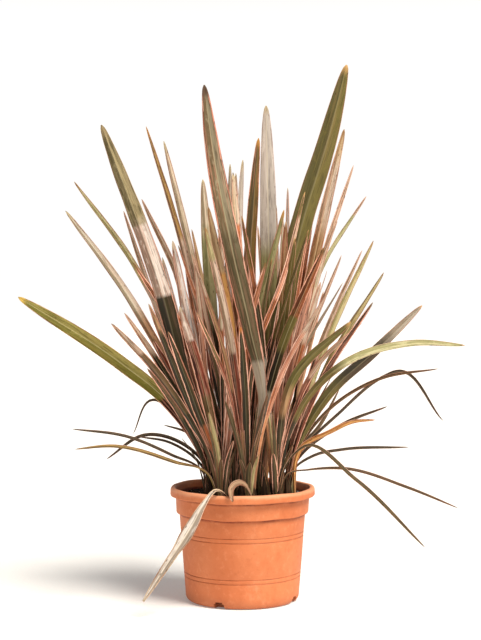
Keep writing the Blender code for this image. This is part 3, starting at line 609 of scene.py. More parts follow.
def is_clear(leaf, placed):
    """The grown blade as a search tree, or nothing where it meets the pot or another shoot."""
    points, faces = blade(leaf, CLEARANCE / 2)
    x, y, _, _ = SHOOTS[leaf["shoot"]]
    if not clear_of_pot(points, (x, y)):
        return None
    tree = BVHTree.FromPolygons(points, faces)
    for shoot, other in placed:
        if shoot != leaf["shoot"] and tree.overlap(other):
            return None
    return tree


def free_blade(leaf):
    """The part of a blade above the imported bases, which crosses no other leaf of its shoot."""
    points, faces = blade(leaf, 0.0)
    raised = [face for face in faces if min(points[k].z for k in face) > PACKED_TOP]
    return BVHTree.FromPolygons(points, raised) if raised else None


def shifted(points, shift, bend):
    """Points moved in depth, least at the first of them and not at all down at the rim."""
    moved = []
    for k, (x, y, z) in enumerate(points):
        part = bend + (1 - bend) * (k + 1) / len(points)
        moved.append((x, y + shift * part * min(1.0, z / 0.3), z))
    return moved


def place_shown_leaves(placed, own):
    """Each leaf keeps its outline from the front, and shifts in depth to pass the others."""
    rows = [(*row[:4], row[4:]) for row in LEAVES]
    leaves = []
    for shoot in SHOOTS:
        shown = [(metres(points), *rest) for name, *rest, points in rows if name == shoot]
        slots, count = slots_for([lean_of(shoot, row[0][0]) for row in shown], SHOOTS[shoot][3])
        leaves += [(shoot, slot, count, *row) for slot, row in zip(slots, shown)]
    leaves.sort(key=lambda row: -row[4])
    made = []
    for shoot, slot, count, points, width, facing, look in leaves:
        spare = None
        for shift, bend in product(DEPTH_SHIFTS, DEPTH_BENDS):
            leaf = shoot_leaf(shoot, slot, count, width, facing, shifted(points, shift, bend))
            tree = is_clear(leaf, placed)
            if not tree:
                continue
            free = free_blade(leaf)
            spare = spare or (leaf, tree, free)
            if not any(free and free.overlap(other) for other in own[shoot]):
                spare = (leaf, tree, free)
                break
        if spare:
            add_leaf(spare, slot, placed, own, made)
            made[-1]["look"] = look
    return made


def add_leaf(found, slot, placed, own, made):
    leaf, tree, free = found
    leaf["slot"] = slot
    placed.append((leaf["shoot"], tree))
    if free:
        own[leaf["shoot"]].append(free)
    made.append(leaf)


def fill_leaf(shoot, slot, count, lean, rng):
    """A leaf placed by rule: its shoot leans out from the clump, and the leaf along its rank."""
    x, y, angle, _ = SHOOTS[shoot]
    away = Vector((x - 0.008, max(y * 1.8, -0.055), 0.0)) / 0.06
    level = direction(angle) * math.tan(math.radians(lean + rng.uniform(-2.5, 2.5)))
    level += direction(angle + 90) * math.tan(math.radians(rng.uniform(-FILL_ASIDE, FILL_ASIDE)))
    level += away * math.tan(math.radians(SHOOT_LEAN + rng.uniform(-5, 7)))
    length = rng.uniform(*FILL_LENGTHS) / (1 + 0.6 * level.length)
    start = Vector((x, y, EXIT_HEIGHT))
    middle = start + (level * 0.78 + UP).normalized() * length * 0.5
    tip = start + (level + UP).normalized() * length
    facing = math.degrees(math.atan2(level.y, level.x)) + 90 + rng.uniform(-75, 75)
    return shoot_leaf(shoot, slot, count, rng.uniform(*FILL_WIDTHS), facing, [middle, tip])


def place_fill_leaves(placed, own, leaves):
    for shoot in SHOOTS:
        shown = [leaf for leaf in leaves if leaf["shoot"] == shoot]
        taken = {leaf["slot"]: lean_of(shoot, leaf["path"][2]) for leaf in shown}
        count = max(SHOOTS[shoot][3], len(shown))
        for slot in range(count):
            if slot in taken:
                continue
            rng = random.Random(f"{FILL_SEED} {shoot} {slot}")
            lean = fan_lean(slot, count, taken)
            for _ in range(FILL_TRIES):
                leaf = fill_leaf(shoot, slot, count, lean, rng)
                tree = is_clear(leaf, placed)
                free = free_blade(leaf)
                if tree and not any(free.overlap(other) for other in own[shoot]):
                    leaf["segments"] = FILL_SEGMENTS
                    chance = FILL_LOOKS[rng.randrange(len(FILL_LOOKS))]
                    leaf["look"] = SEEN_LOOKS.get(shoot, {}).get(slot, chance)
                    add_leaf((leaf, tree, free), slot, placed, own, leaves)
                    break


def fan_lean(slot, count, taken):
    """The lean of a free slot, between those of the nearest leaves on its two sides."""
    ends = dict(taken)
    ends.setdefault(-1, min([-FILL_LEAN, *taken.values()]))
    ends.setdefault(count, max([FILL_LEAN, *taken.values()]))
    low = max(k for k in ends if k < slot)
    high = min(k for k in ends if k > slot)
    return ends[low] + (ends[high] - ends[low]) * (slot - low) / (high - low)


def stem_rings(place, long, short, angle, floor, top):
    """A stem in its hole: straight up to the mix's surface, then drawn in to its top."""
    low = oval_points(place, long, short, angle, floor + GAP)
    mid = oval_points(place, long, short, angle, SOIL_TOP + STEM_RISE)
    high = oval_points(place, long * STEM_DRAWN[0], short * STEM_DRAWN[1], angle, top)
    return [low, mid, high]


def crown_rings(name):
    x, y, angle, _ = SHOOTS[name]
    return stem_rings((x, y), CROWN_LONG, CROWN_SHORT, angle, HOLE_FLOOR, CROWN_TOP)


def stub_rings(name):
    place = metres(DEAD_LEAVES[name][:1])[0]
    return stem_rings(place, DEAD_STUB, DEAD_STUB, 0, SHALLOW_FLOOR, STUB_TOP)


def stem_tree(rings):
    return BVHTree.FromPolygons(*oval_body(rings))


def place_leaves():
    """Every leaf of every shoot, each clear of the other shoots, the pot and the dead leaves."""
    placed = [(name, stem_tree(crown_rings(name))) for name in SHOOTS]
    for name in DEAD_LEAVES:
        placed.append((name, stem_tree(stub_rings(name))))
        placed.append((name, BVHTree.FromPolygons(*blade(dead_leaf(name), CLEARANCE / 2))))
    own = {name: [] for name in SHOOTS}
    leaves = place_shown_leaves(placed, own)
    place_fill_leaves(placed, own, leaves)
    return leaves, placed


def dead_leaf(name):
    place, width, away, *points = DEAD_LEAVES[name]
    root = Vector((*metres([place])[0], SOIL_TOP - DEAD_ROOT))
    path = [root, root + UP * 2 * DEAD_ROOT] + [Vector(point) for point in metres(points)]
    return {"path": path, "width": width / 1000, "outward": direction(away - 90), "facing": None,
            "segments": len(points) + 4, "torn": name == TORN_LEAF}


# The finishes
def linear(colour):
    """A colour such as c47a4c, as the shader wants it."""
    return tuple(part / 255 / 12.92 if part < 10 else ((part / 255 + 0.055) / 1.055) ** 2.4
                 for part in bytes.fromhex(colour))


def blend_colours(low, high, share):
    share = min(max(share, 0.0), 1.0)
    return tuple(a + (b - a) * share for a, b in zip(low, high))


class Nodes:
    """Builds up a node tree. A scale of three numbers stretches its pattern, and a colour may be a string."""

    def __init__(self, tree):
        self.tree = tree

    def put(self, node, socket, value):
        target = node.inputs[socket]
        if isinstance(value, str):
            value = linear(value)
        if isinstance(value, bpy.types.NodeSocket):
            self.tree.links.new(value, target)
        elif target.type == "RGBA":
            target.default_value = (*value, 1.0)
        else:
            target.default_value = value

    def node(self, kind, settings=(), **values):
        made = self.tree.nodes.new("ShaderNode" + kind)
        for name, setting in settings:
            setattr(made, name, setting)
        for socket, value in values.items():
            self.put(made, socket.replace("_", " "), value)
        return made

    def read(self, name, output="Fac"):
        """A value that the mesh carries."""
        return self.node("Attribute", [("attribute_name", name)]).outputs[output]

    def place(self, output="Object"):
        return self.node("TexCoord").outputs[output]

    def parts(self, vector):
        return self.node("SeparateXYZ", Vector=vector).outputs

    def stretched(self, vector, scale):
        if not isinstance(scale, tuple):
            return vector, scale
        return self.node("Mapping", Vector=vector, Scale=scale).outputs["Vector"], 1.0

    def grain(self, vector, scale, detail=3.0, rough=0.5):
        vector, scale = self.stretched(vector, scale)
        return self.node("TexNoise", Vector=vector, Scale=scale, Detail=detail, Roughness=rough).outputs["Fac"]

    def spots(self, vector, scale):
        """Distance from scattered points, and each one's own chance."""
        vector, scale = self.stretched(vector, scale)
        node = self.node("TexVoronoi", Vector=vector, Scale=scale)
        return node.outputs["Distance"], node.outputs["Color"]

    def math(self, kind, *values):
        node = self.node("Math", [("operation", kind)])
        for k, value in enumerate(values):
            self.put(node, k, value)
        return node.outputs[0]

    def times(self, first, second):
        return self.math("MULTIPLY", first, second)

    def times_add(self, first, second, third):
        return self.math("MULTIPLY_ADD", first, second, third)

    def less(self, first, second):
        return self.math("SUBTRACT", first, second)

    def rise(self, value, low, high, start=0.0, end=1.0):
        """From start to end as the value goes from low to high, eased."""
        return self.node("MapRange", [("interpolation_type", "SMOOTHSTEP")], Value=value, From_Min=low,
                         From_Max=high, To_Min=start, To_Max=end).outputs["Result"]

    def mix(self, share, low, high):
        node = self.node("Mix", [("data_type", "RGBA")])
        for socket, value in ((0, share), (6, low), (7, high)):
            self.put(node, socket, value)
        return node.outputs[2]

    def tint(self, colour, over, value, low, high, most=1.0):
        """A second colour over the first, more of it as the value goes from low to high."""
        return self.mix(self.rise(value, low, high, 0.0, most), colour, over)

    def bumps(self, height, strength, depth, **before):
        return self.node("Bump", Height=height, Strength=strength, Distance=depth, **before).outputs["Normal"]


class Finish(Nodes):
    """A material, from its patterns to its shader."""

    def __init__(self, name, **values):
        self.material = bpy.data.materials.new(name)
        self.material.use_nodes = True
        super().__init__(self.material.node_tree)
        self.shader = self.tree.nodes["Principled BSDF"]
        for socket, value in values.items():
            self.put(self.shader, socket.replace("_", " "), value)

    def wear(self, colour, roughness, normal):
        for socket, value in (("Base Color", colour), ("Roughness", roughness), ("Normal", normal)):
            self.put(self.shader, socket, value)
        return self.material


def leaf_finish(name, shine, dryness):
    """Lengthwise streaks, halves of two tones with painted light making the half toward the sun the paler one,
    margins of another colour with a dark line inside them, a pale midrib on the upper face, and brown
    dashes that crowd along the margins and toward the tip."""
    paint = Finish(name, Specular_IOR_Level=shine)
    spot = paint.read("blade_place", "Vector")
    span, wilt = paint.read("blade_span"), paint.read("wilt")
    share = paint.read("margin_share")
    dark, pale, margin = (paint.read("blade_" + key, "Color") for key in ("dark", "pale", "edge"))
    half = paint.rise(paint.parts(spot)["X"], -0.0006, 0.0006, -0.5, 0.5)
    streak = paint.grain(spot, (240.0, 10.0, 1.0), 2.5)
    wash = paint.grain(spot, (300.0, 8.0, 3.0), 2.5)
    fine = paint.grain(spot, (520.0, 30.0, 1.0))
    cloud = paint.grain(spot, (110.0, 45.0, 1.0), 4.0, 0.6)

    # Painted light: the half of the blade toward the sun is made paler
    tone = paint.times_add(half, paint.read("half_tone"), streak)
    middle = paint.tint(dark, pale, tone, 0.34, 0.66)
    middle = paint.mix(paint.times(paint.rise(wash, 0.52, 0.60), paint.read("wash")), middle, margin)
    deep = paint.mix(0.45, dark, "362210")
    middle = paint.tint(middle, deep, fine, 0.54, 0.64, 0.60)
    middle = paint.tint(middle, pale, cloud, 0.54, 0.70, 0.60)
    middle = paint.tint(middle, dark, cloud, 0.46, 0.32, 0.45)

    gap = paint.math("DIVIDE", paint.less(span, paint.less(1.0, share)), share)
    gap = paint.times_add(paint.less(fine, 0.5), 1.3, gap)
    gap = paint.times_add(paint.less(cloud, 0.5), 1.8, gap)
    edge = paint.tint(margin, "deb49e", streak, 0.46, 0.60, 0.60)
    edge = paint.tint(edge, "864c32", wash, 0.50, 0.60, 0.75)
    line = paint.times(paint.rise(gap, -0.75, -0.30), paint.rise(gap, 0.20, -0.05))
    middle = paint.mix(paint.times(line, 0.62), middle, "4a2818")
    colour = paint.tint(middle, edge, gap, -0.10, 0.15)
    rind = paint.times(paint.rise(gap, 0.75, 1.05), paint.rise(cloud, 0.44, 0.56, 0.0, 0.7))
    colour = paint.mix(rind, colour, "683c2a")

    rib = paint.times(paint.rise(span, 0.11, 0.05), paint.read("rib_strength"))
    colour = paint.mix(rib, colour, paint.read("blade_rib", "Color"))
    tipped = paint.times(paint.rise(wilt, 0.0, 0.55), paint.rise(streak, 0.2, 0.5, 0.6, 1.0))
    colour = paint.mix(tipped, colour, paint.read("blade_tip", "Color"))
    colour = paint.tint(colour, "4a362a", paint.times_add(cloud, 0.4, wilt), 0.95, 1.15)

    near, chance = paint.spots(spot, (330.0, 85.0, 1.0))
    size = paint.times_add(wilt, 0.22, 0.24 + dryness * 0.04)
    speck = paint.rise(near, size, paint.times(size, 0.6))
    seldom = paint.rise(gap, -2.4, -0.4, 0.80, 0.44)
    speck = paint.times(speck, paint.rise(paint.less(chance, seldom), 0.0, 0.05))
    colour = paint.mix(paint.times(speck, 0.80), colour, "482c1e")

    rough = paint.times_add(wilt, 0.25, paint.times_add(fine, 0.20, 0.46 + 0.26 * dryness))
    normal = paint.bumps(fine, 0.45, 0.0006, Normal=paint.bumps(streak, 0.35, 0.0012))
    return paint.wear(colour, rough, normal)


def pot_finish():
    """Matte moulded plastic, softly mottled and dusty, with scuffs, splashes at the foot, a rim crest painted
    paler as both worn plastic and painted highlight, and painted shade in the grooves and under the rim and
    the collar."""
    paint = Finish("moulded_terracotta_plastic", Specular_IOR_Level=0.30)
    place = paint.place()
    up = paint.parts(place)["Z"]
    mottle = paint.grain(place, (11.0, 11.0, 9.0), 4.0, 0.6)
    blotch = paint.grain(place, 95.0, 4.0, 0.6)
    speckle = paint.grain(place, 620.0)
    dust = paint.grain(place, (30.0, 30.0, 22.0), 6.0, 0.7)
    colour = paint.tint("ca7042", "d57e50", mottle, 0.35, 0.68)
    colour = paint.tint(colour, "e08e62", blotch, 0.52, 0.72, 0.40)
    colour = paint.tint(colour, "ba6036", blotch, 0.46, 0.30, 0.30)
    colour = paint.tint(colour, "b86848", speckle, 0.58, 0.72, 0.35)
    colour = paint.tint(colour, "e6a680", dust, 0.58, 0.78, 0.35)
    colour = paint.tint(colour, "965c3e", paint.times_add(dust, 0.022, up), 0.036, 0.012, 0.40)
    near, chance = paint.spots(place, (46.0, 46.0, 46.0))
    scuff = paint.times(paint.rise(near, 0.10, 0.05), paint.rise(chance, 0.86, 0.90))
    colour = paint.mix(paint.times(scuff, 0.5), colour, "aa5436")
    # Painted highlight and wear: the rim's crest is painted paler, partly as rubbed plastic, partly as the
    # light that catches its top
    crest = paint.times_add(blotch, 0.006, up)
    colour = paint.tint(colour, "eaac86", crest, POT_HEIGHT - 0.005, POT_HEIGHT + 0.001, 0.5)
    # Painted shade: the band grooves and the creases under the rim's lip and the collar's foot, broken up a
    # little by the dust
    groove_shade = paint.times(paint.read("groove_shade"), paint.rise(dust, 0.38, 0.60, 0.55, 0.25))
    colour = paint.mix(groove_shade, colour, "782e16")
    normal = paint.bumps(speckle, 0.30, 0.0004, Normal=paint.bumps(blotch, 0.22, 0.0008))
    return paint.wear(colour, paint.times_add(dust, 0.30, 0.46), normal)


def soil_finish():
    """Dark bark and peat: crumbs of several browns, darker in patches, with a few pale grains."""
    paint = Finish("potting_mix", Specular_IOR_Level=0.25)
    place = paint.place()
    lump = paint.grain(place, 160.0, 6.0, 0.7)
    fibre = paint.grain(place, (500.0, 260.0, 300.0), 4.0)
    tone = paint.read("tone")
    colour = paint.tint((0.010, 0.007, 0.005), (0.060, 0.040, 0.027), lump, 0.38, 0.64)
    colour = paint.tint(colour, "704e34", tone, 0.15, 0.75)
    colour = paint.tint(colour, "d6cec0", tone, 0.90, 0.97)
    colour = paint.tint(colour, "967656", fibre, 0.60, 0.72, 0.5)
    normal = paint.bumps(fibre, 0.5, 0.0008, Normal=paint.bumps(lump, 0.9, 0.003))
    return paint.wear(colour, paint.times_add(lump, 0.25, 0.68), normal)


def floor_finish():
    """A pale matt board with a faint tooth, made a little brighter by a glow of its own."""
    paint = Finish("pale_floor", Specular_IOR_Level=0.1, Emission_Color=(1.0, 0.99, 0.97),
                   Emission_Strength=0.16)
    tooth = paint.grain(paint.place(), 240.0, 4.0)
    colour = paint.tint((0.82, 0.805, 0.785), (0.86, 0.845, 0.825), tooth, 0.3, 0.7)
    return paint.wear(colour, 0.9, paint.bumps(tooth, 0.1, 0.0005))


# Meshes
def add_object(name, data):
    made = bpy.data.objects.new(name, data)
    bpy.context.scene.collection.objects.link(made)
    return made


def as_mesh(name, work):
    mesh = bpy.data.meshes.new(name)
    work.to_mesh(mesh)
    work.free()
    return mesh


def show(name, mesh, finish):
    """A mesh as a visible piece that rides on the one body."""
    mesh.materials.append(finish)
    made = add_object(name, mesh)
    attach(made, "root")
    return made


def new_mesh(name, points, faces, finish):
    mesh = bpy.data.meshes.new(name)
    mesh.from_pydata([tuple(point) for point in points], [], faces)
    mesh.update()
    mesh.shade_smooth()
    return show(name, mesh, finish)


def carry(mesh, name, values):
    """Write one value for each vertex: a number, or three that are a colour unless they are a place."""
    if isinstance(values[0], float):
        kind, field, flat = "FLOAT", "value", values
    elif name == "blade_place":
        kind, field, flat = "FLOAT_VECTOR", "vector", [part for value in values for part in value]
    else:
        kind, field, flat = "FLOAT_COLOR", "color", [part for value in values for part in (*value, 1.0)]
    mesh.attributes.new(name, kind, "POINT").data.foreach_set(field, flat)


def facing_out(mesh):
    work = bmesh.new()
    work.from_mesh(mesh)
    bmesh.ops.recalc_face_normals(work, faces=work.faces)
    work.to_mesh(mesh)
    work.free()


# Leaves
def looks_along(text):
    """A leaf's looks from the tip down, each with the height below which it takes over and how softly."""
    words = text.split()
    bands = [(words[0], math.inf, LOOK_FADE)]
    for height, look in zip(words[1::2], words[2::2]):
        top, _, fade = height.partition("/")
        bands.append((look, float(top), float(fade or LOOK_FADE)))
    return bands


def colours_at(bands, height):
    """The blade's colours at a height, where each look passes into the next one down."""
    dark, pale, edge, margin, wash, _ = COLOURS[bands[0][0]]
    dark, pale, edge = linear(dark), linear(pale), linear(edge)
    for look, top, fade in bands[1:]:
        share = 1 - ease(top - fade, top + fade, height)
        low = COLOURS[look]
        dark, pale, edge = (blend_colours(a, linear(b), share) for a, b in zip((dark, pale, edge), low[:3]))
        margin += (low[3] - margin) * share
        wash += (low[4] - wash) * share
    return dark, pale, edge, margin, wash


class Foliage:
    """Gathers the fine leaves of one piece, with what their finish reads."""

    def __init__(self):
        self.points = []
        self.faces = []
        self.values = {}

    def add(self, point, **values):
        self.points.append(point)
        for key, value in values.items():
            self.values.setdefault(key, []).append(value)

    def finish(self, name, paint, slot):
        made = new_mesh(name, self.points, self.faces, paint)
        for key, values in self.values.items():
            carry(made.data, key, values)
        facing_out(made.data)
        return made


def fine_sections(leaf):
    """Places along the blade, from below its root to its tip: share, distance, point, heading and keel."""
    rough = smooth_path(leaf["path"], 24)
    length = sum((after - before).length for before, after in zip(rough, rough[1:]))
    steps = max(FEWEST_STEPS, round(length / STEP))
    line = smooth_path(leaf["path"], steps)
    headings = headings_along(line)
    keels = keels_along(headings, leaf["outward"], leaf["facing"])
    sections = []
    distance = -ROOT_STEPS * ROOT_STEP
    for k in range(-ROOT_STEPS, steps + 1):
        at = max(k, 0)
        point = line[at] + headings[0] * (min(k, 0) * ROOT_STEP)
        if sections:
            distance += (point - sections[-1][2]).length
        sections.append((max(k, 0) / steps, distance, point, headings[at], keels[at]))
    return sections


def fine_place(point, across, keel, fold, half, u, wave):
    """A place on the blade's lower face, u of the way out from its keel."""
    a = abs(u)
    round_off = math.sqrt(1 + KEEL_ROUND ** 2) - KEEL_ROUND
    vee = (math.sqrt(a * a + KEEL_ROUND ** 2) - KEEL_ROUND) / round_off
    lift = vee * math.sin(fold) + wave * a ** 3 - EDGE_CURL * ease(0.6, 1.0, a) + BELLY * math.sin(math.pi * a)
    return point + across * (u * math.cos(fold) * half) - keel * (lift * half)


def fine_leaf(foliage, leaf, rng, waviness=1.0):
    """A folded blade with a rounded keel, curled edges, waves and colours along its length, painted shade and
    highlights among them.
    """
    bands = looks_along(leaf["look"])
    tone = rng.uniform(0.88, 1.12)
    warm = rng.uniform(-0.05, 0.05)
    tip = linear(COLOURS[bands[0][0]][5])
    dry_from = rng.uniform(0.92, 0.97)
    root_colour = blend_colours(linear("ce9670"), linear("8a8a4c"), rng.random())
    sections = fine_sections(leaf)
    # Painted light: the sign makes the blade's half toward +X, the side the sun comes from, the paler one
    half_tone = rng.uniform(0.15, 0.45) * (1 if sections[len(sections) // 2][4].y < 0 else -1)
    phase = rng.uniform(0, 6.3)
    pace = rng.uniform(55, 95)
    start = len(foliage.points)
    seed = rng.uniform(0, 60)
    for t, distance, point, heading, keel in sections:
        sway = math.radians(SWAY) * math.sin(distance * SWAY_PACE + phase) * ease(0.1, 0.4, t)
        keel = Quaternion(heading, sway) @ keel
        across = heading.cross(keel)
        fold = fold_at(t)
        half = leaf["width"] / 2 * max(share_of_width(leaf, min(t, NEAR_TIP)), THINNEST)
        thick = (THICK_ROOT + (THICK_TIP - THICK_ROOT) * t) * THINNER
        low = 1 - ease(0.0, ROOT_TINT_AND_SHADE, t)
        dark, pale, edge, margin, wash = colours_at(bands, point.z + rng.uniform(-LOOK_JITTER, LOOK_JITTER))
        dark, pale = (tuple(part * tone * (1 + warm * (1 - k)) for k, part in enumerate(shade))
                      for shade in (dark, pale))
        # Painted shade: toward the root the darker colour is halved and the paler one pulled toward it, for
        # the shade among the packed leaf bases; the root tint mixed in is the bases' own colour
        middle = blend_colours(dark, tuple(part * 0.50 for part in dark), low)
        values = {
            "margin_share": min(0.5, margin * (1 + 0.6 * low) / 1000 / max(half, 0.001)),
            "blade_pale": blend_colours(pale, blend_colours(dark, root_colour, 0.65), 0.65 * low),
            "blade_edge": blend_colours(edge, blend_colours(edge, root_colour, 0.5), 0.5 * low),
            "blade_rib": blend_colours(pale, linear("cec096"), 0.45),
            "blade_tip": tip, "wilt": ease(dry_from, 1.03, t), "half_tone": half_tone, "wash": wash,
        }
        for face in (0, 1):
            values["blade_dark"] = blend_colours(middle, linear("80806c"), 0.0 if face else 0.10)
            values["rib_strength"] = (0.75 if face else 0.30) * ease(0.04, 0.3, t)
            for u in COLUMNS:
                wave = math.sin(distance * pace + phase + (2.1 if u > 0 else 0)) * WAVE * waviness
                place = fine_place(point, across, keel, fold, half, u, wave * ease(0.1, 0.3, t))
                if face:
                    lean = math.copysign(math.sin(fold), -u) if u else 0.0
                    inward = (across * lean - keel * math.cos(fold)).normalized()
                    place += inward * (thick * (1 - 0.45 * abs(u)))
                else:
                    place += keel * (KEEL_RIDGE * max(0.0, 1 - abs(u) / 0.12) * (1 - t))
                where = (u * half, distance, seed + face * 7)
                foliage.add(place, blade_place=where, blade_span=abs(u), **values)
    skin_blade(foliage.faces, start, len(sections) - 1)


def skin_blade(faces, start, last):
    """The faces of a blade between its sections: two skins, two edges and two ends."""
    count = len(COLUMNS)
    row = 2 * count
    for k in range(last):
        a = start + k * row
        b = a + row
        for j in range(count - 1):
            faces.append((a + j, b + j, b + j + 1, a + j + 1))
            faces.append((a + count + j, a + count + j + 1, b + count + j + 1, b + count + j))
        faces.append((a, a + count, b + count, b))
        faces.append((a + count - 1, b + count - 1, b + row - 1, a + row - 1))
    for a in (start, start + last * row):
        for j in range(count - 1):
            faces.append((a + j, a + j + 1, a + count + j + 1, a + count + j))


def low_blade(name, rng, angle):
    """A short, thin, half dry leaf at the foot of a shoot."""
    x, y, turn, _ = SHOOTS[name]
    away = direction(turn + angle)
    reach = CROWN_SHORT + (CROWN_LONG - CROWN_SHORT) * abs(math.cos(math.radians(angle))) - LOW_ROOT
    foot = Vector((x, y, SOIL_TOP - LOW_ROOT)) + away * reach
    length = rng.uniform(*LOW_LENGTHS)
    lean = away * rng.uniform(0.05, 0.38) + direction(turn + angle + 90) * rng.uniform(-0.15, 0.15)
    knee = foot + UP * LOW_KNEE + lean * 0.008
    path = [foot, knee, knee + (UP + lean * 0.8).normalized() * length * 0.5,
            knee + (UP + lean * 1.3).normalized() * length]
    return {"path": path, "width": rng.uniform(*LOW_WIDTHS), "outward": away, "facing": None, "shoot": name,
            "segments": 6, "look": LOW_LOOKS[rng.randrange(len(LOW_LOOKS))]}


def add_low_blades(foliage, name, rng, placed):
    made = 0
    for _ in range(LOW_TRIES):
        leaf = low_blade(name, rng, rng.uniform(0, 360))
        if is_clear(leaf, placed):
            fine_leaf(foliage, leaf, rng)
            made += 1
        if made == LOW_BLADES:
            break


def add_crown(foliage, name, rng):
    """The dark fibrous core that the leaves of a shoot rise from."""
    x, y, angle, _ = SHOOTS[name]
    levels, sides = CROWN_CORE_LEVELS, CROWN_CORE_SIDES
    foot = SOIL_TOP - CROWN_CORE_DEPTH
    start = len(foliage.points)
    dark, pale = linear("221810"), linear("543e2a")
    for level in range(levels):
        t = level / (levels - 1)
        height = foot + (CROWN_TOP + 0.004 - foot) * t
        draw = 1 - 0.45 * ease(0.2, 1.0, t)
        long, short = (CROWN_LONG - CROWN_CORE_INSET) * draw, (CROWN_SHORT - CROWN_CORE_INSET) * draw
        for k, point in enumerate(oval_points((x, y), long, short, angle, height, sides)):
            swell = 1 + 0.06 * math.sin(5 * k * 2 * math.pi / sides + x * 90) + 0.03 * math.sin(9 * k + level)
            point = Vector((x + (point.x - x) * swell, y + (point.y - y) * swell, point.z))
            foliage.add(
                point, blade_place=(k * 0.0028, height, rng.random() * 0.01 + x * 50), blade_span=0.3,
                margin_share=0.1, blade_dark=dark, blade_pale=pale, blade_edge=pale, blade_tip=pale,
                blade_rib=pale, rib_strength=0.0, wilt=0.0, half_tone=0.0, wash=0.3)
    foliage.faces += ring_faces(start, sides, levels)
    foliage.faces.append(list(range(start, start + sides))[::-1])
    foliage.faces.append(list(range(len(foliage.points) - sides, len(foliage.points))))


def make_shoots(green):
    leaves, placed = place_leaves()
    for name in SHOOTS:
        rng = random.Random(f"looks {name}")
        foliage = Foliage()
        for leaf in leaves:
            if leaf["shoot"] == name:
                fine_leaf(foliage, leaf, rng)
        add_low_blades(foliage, name, rng, placed)
        add_crown(foliage, name, rng)
        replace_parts(foliage.finish(name + "_leaves", green, "flax_leaf"), name)


def make_dead_leaves(straw):
    for name, look in DEAD_LOOKS.items():
        foliage = Foliage()
        fine_leaf(foliage, {**dead_leaf(name), "look": look}, random.Random(f"looks {name}"), waviness=2.2)
        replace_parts(foliage.finish(name + "_blade", straw, "dead_leaf"), name)


# The pot and the mix
def corner(before, at, after, radius, count=4):
    """A rounded corner between two straight runs of a profile."""
    at, before, after = (Vector((*point, 0.0)) for point in (at, before, after))
    start = at + (before - at).normalized() * min(radius, (before - at).length * 0.45)
    end = at + (after - at).normalized() * min(radius, (after - at).length * 0.45)
    points = []
    for k in range(count + 1):
        t = k / count
        point = start * (1 - t) ** 2 + at * 2 * t * (1 - t) + end * t ** 2
        points.append((point.x, point.y))
    return points


def softened(profile, radii):
    """A profile with each corner rounded by its own radius."""
    made = [profile[0]]
    for k in range(1, len(profile) - 1):
        if radii[k] == 0:
            made.append(profile[k])
        else:
            made += corner(profile[k - 1], profile[k], profile[k + 1], radii[k])
    return made + [profile[-1]]


def fine_band(height):
    """The two fine grooves that edge a sunk band, from the upper one down."""
    points = []
    for level in (height + BAND_WIDTH, height):
        out = outer_radius(level)
        points += [(outer_radius(level + 0.0016), level + 0.0016), (out - BAND_DEPTH * 0.4, level + 0.0007),
                   (out - BAND_DEPTH * 1.5, level), (out - BAND_DEPTH * 0.4, level - 0.0007),
                   (outer_radius(level - 0.0016), level - 0.0016)]
    return points


def pot_profile():
    """The pot's section, from the middle of its floor up the inside, over the rim and down the outside,
    with how far each corner is rounded."""
    foot_top = WALL + 0.0008
    heel = HEEL_RADIUS - WALL - FOOT_WIDTH * 0.25
    low = POT_HEIGHT - RIM_DEPTH
    crest = RIM_RADIUS - 0.0052
    foot_inner = HEEL_RADIUS - HEEL_ROUND - FOOT_WIDTH
    inside = [
        (0.0, foot_top, 0), (HUB_RADIUS, foot_top, 0.003), (HUB_RADIUS + FLOOR_LIFT, FLOOR_LIFT + WALL, 0.003),
        (heel - 0.003, FLOOR_LIFT + WALL, 0.006), (outer_radius(0.014) - WALL - 0.0006, 0.014, 0.006),
        (outer_radius(COLLAR_FOOT - 0.004) - WALL, COLLAR_FOOT - 0.004, 0.003),
        (COLLAR_RADIUS - 0.002 - WALL, COLLAR_FOOT + WALL, 0.003), (COLLAR_RADIUS - WALL, low, 0.004),
    ]
    over = [(r, z, 0) for r, z in arc((crest, POT_HEIGHT - 0.005), 0.005, 130, 0, 10)]
    lip = [
        (RIM_RADIUS, low + 0.0016, 0.0016), (RIM_RADIUS - 0.0012, low, 0.0010),
        (RIM_RADIUS - 0.0026, low, 0.0008),
        (RIM_RADIUS - WALL - 0.0010, POT_HEIGHT - 0.0056, 0.0012),
        (COLLAR_RADIUS + 0.0022, POT_HEIGHT - 0.0060, 0.0012), (COLLAR_RADIUS, low - 0.001, 0.001),
        (COLLAR_RADIUS - 0.0002, low - 0.0045, 0),
        (COLLAR_RADIUS - 0.0014, COLLAR_FOOT + 0.0014, 0.0014),
        (COLLAR_RADIUS - 0.0032, COLLAR_FOOT - 0.0002, 0.001), (SHOULDER_RADIUS, COLLAR_FOOT - 0.0006, 0.0008),
        (outer_radius(COLLAR_FOOT - 0.0042), COLLAR_FOOT - 0.0042, 0),
    ]
    body = [(r, z, 0) for height in BAND_HEIGHTS[::-1] for r, z in fine_band(height)]
    heel_arc = [(r, z, 0) for r, z in arc((HEEL_RADIUS - HEEL_ROUND, HEEL_ROUND), HEEL_ROUND, 0, -90, 8)]
    under = [
        (foot_inner, 0.0, 0.001), (foot_inner - FLOOR_LIFT, FLOOR_LIFT, 0.001),
        (HUB_RADIUS + FLOOR_LIFT * 0.6, FLOOR_LIFT, 0.001), (HUB_RADIUS, 0.0, 0.001), (0.0, 0.0, 0),
    ]
    rows = inside + over + lip + body + heel_arc + under
    return softened([row[:2] for row in rows], [row[2] for row in rows])


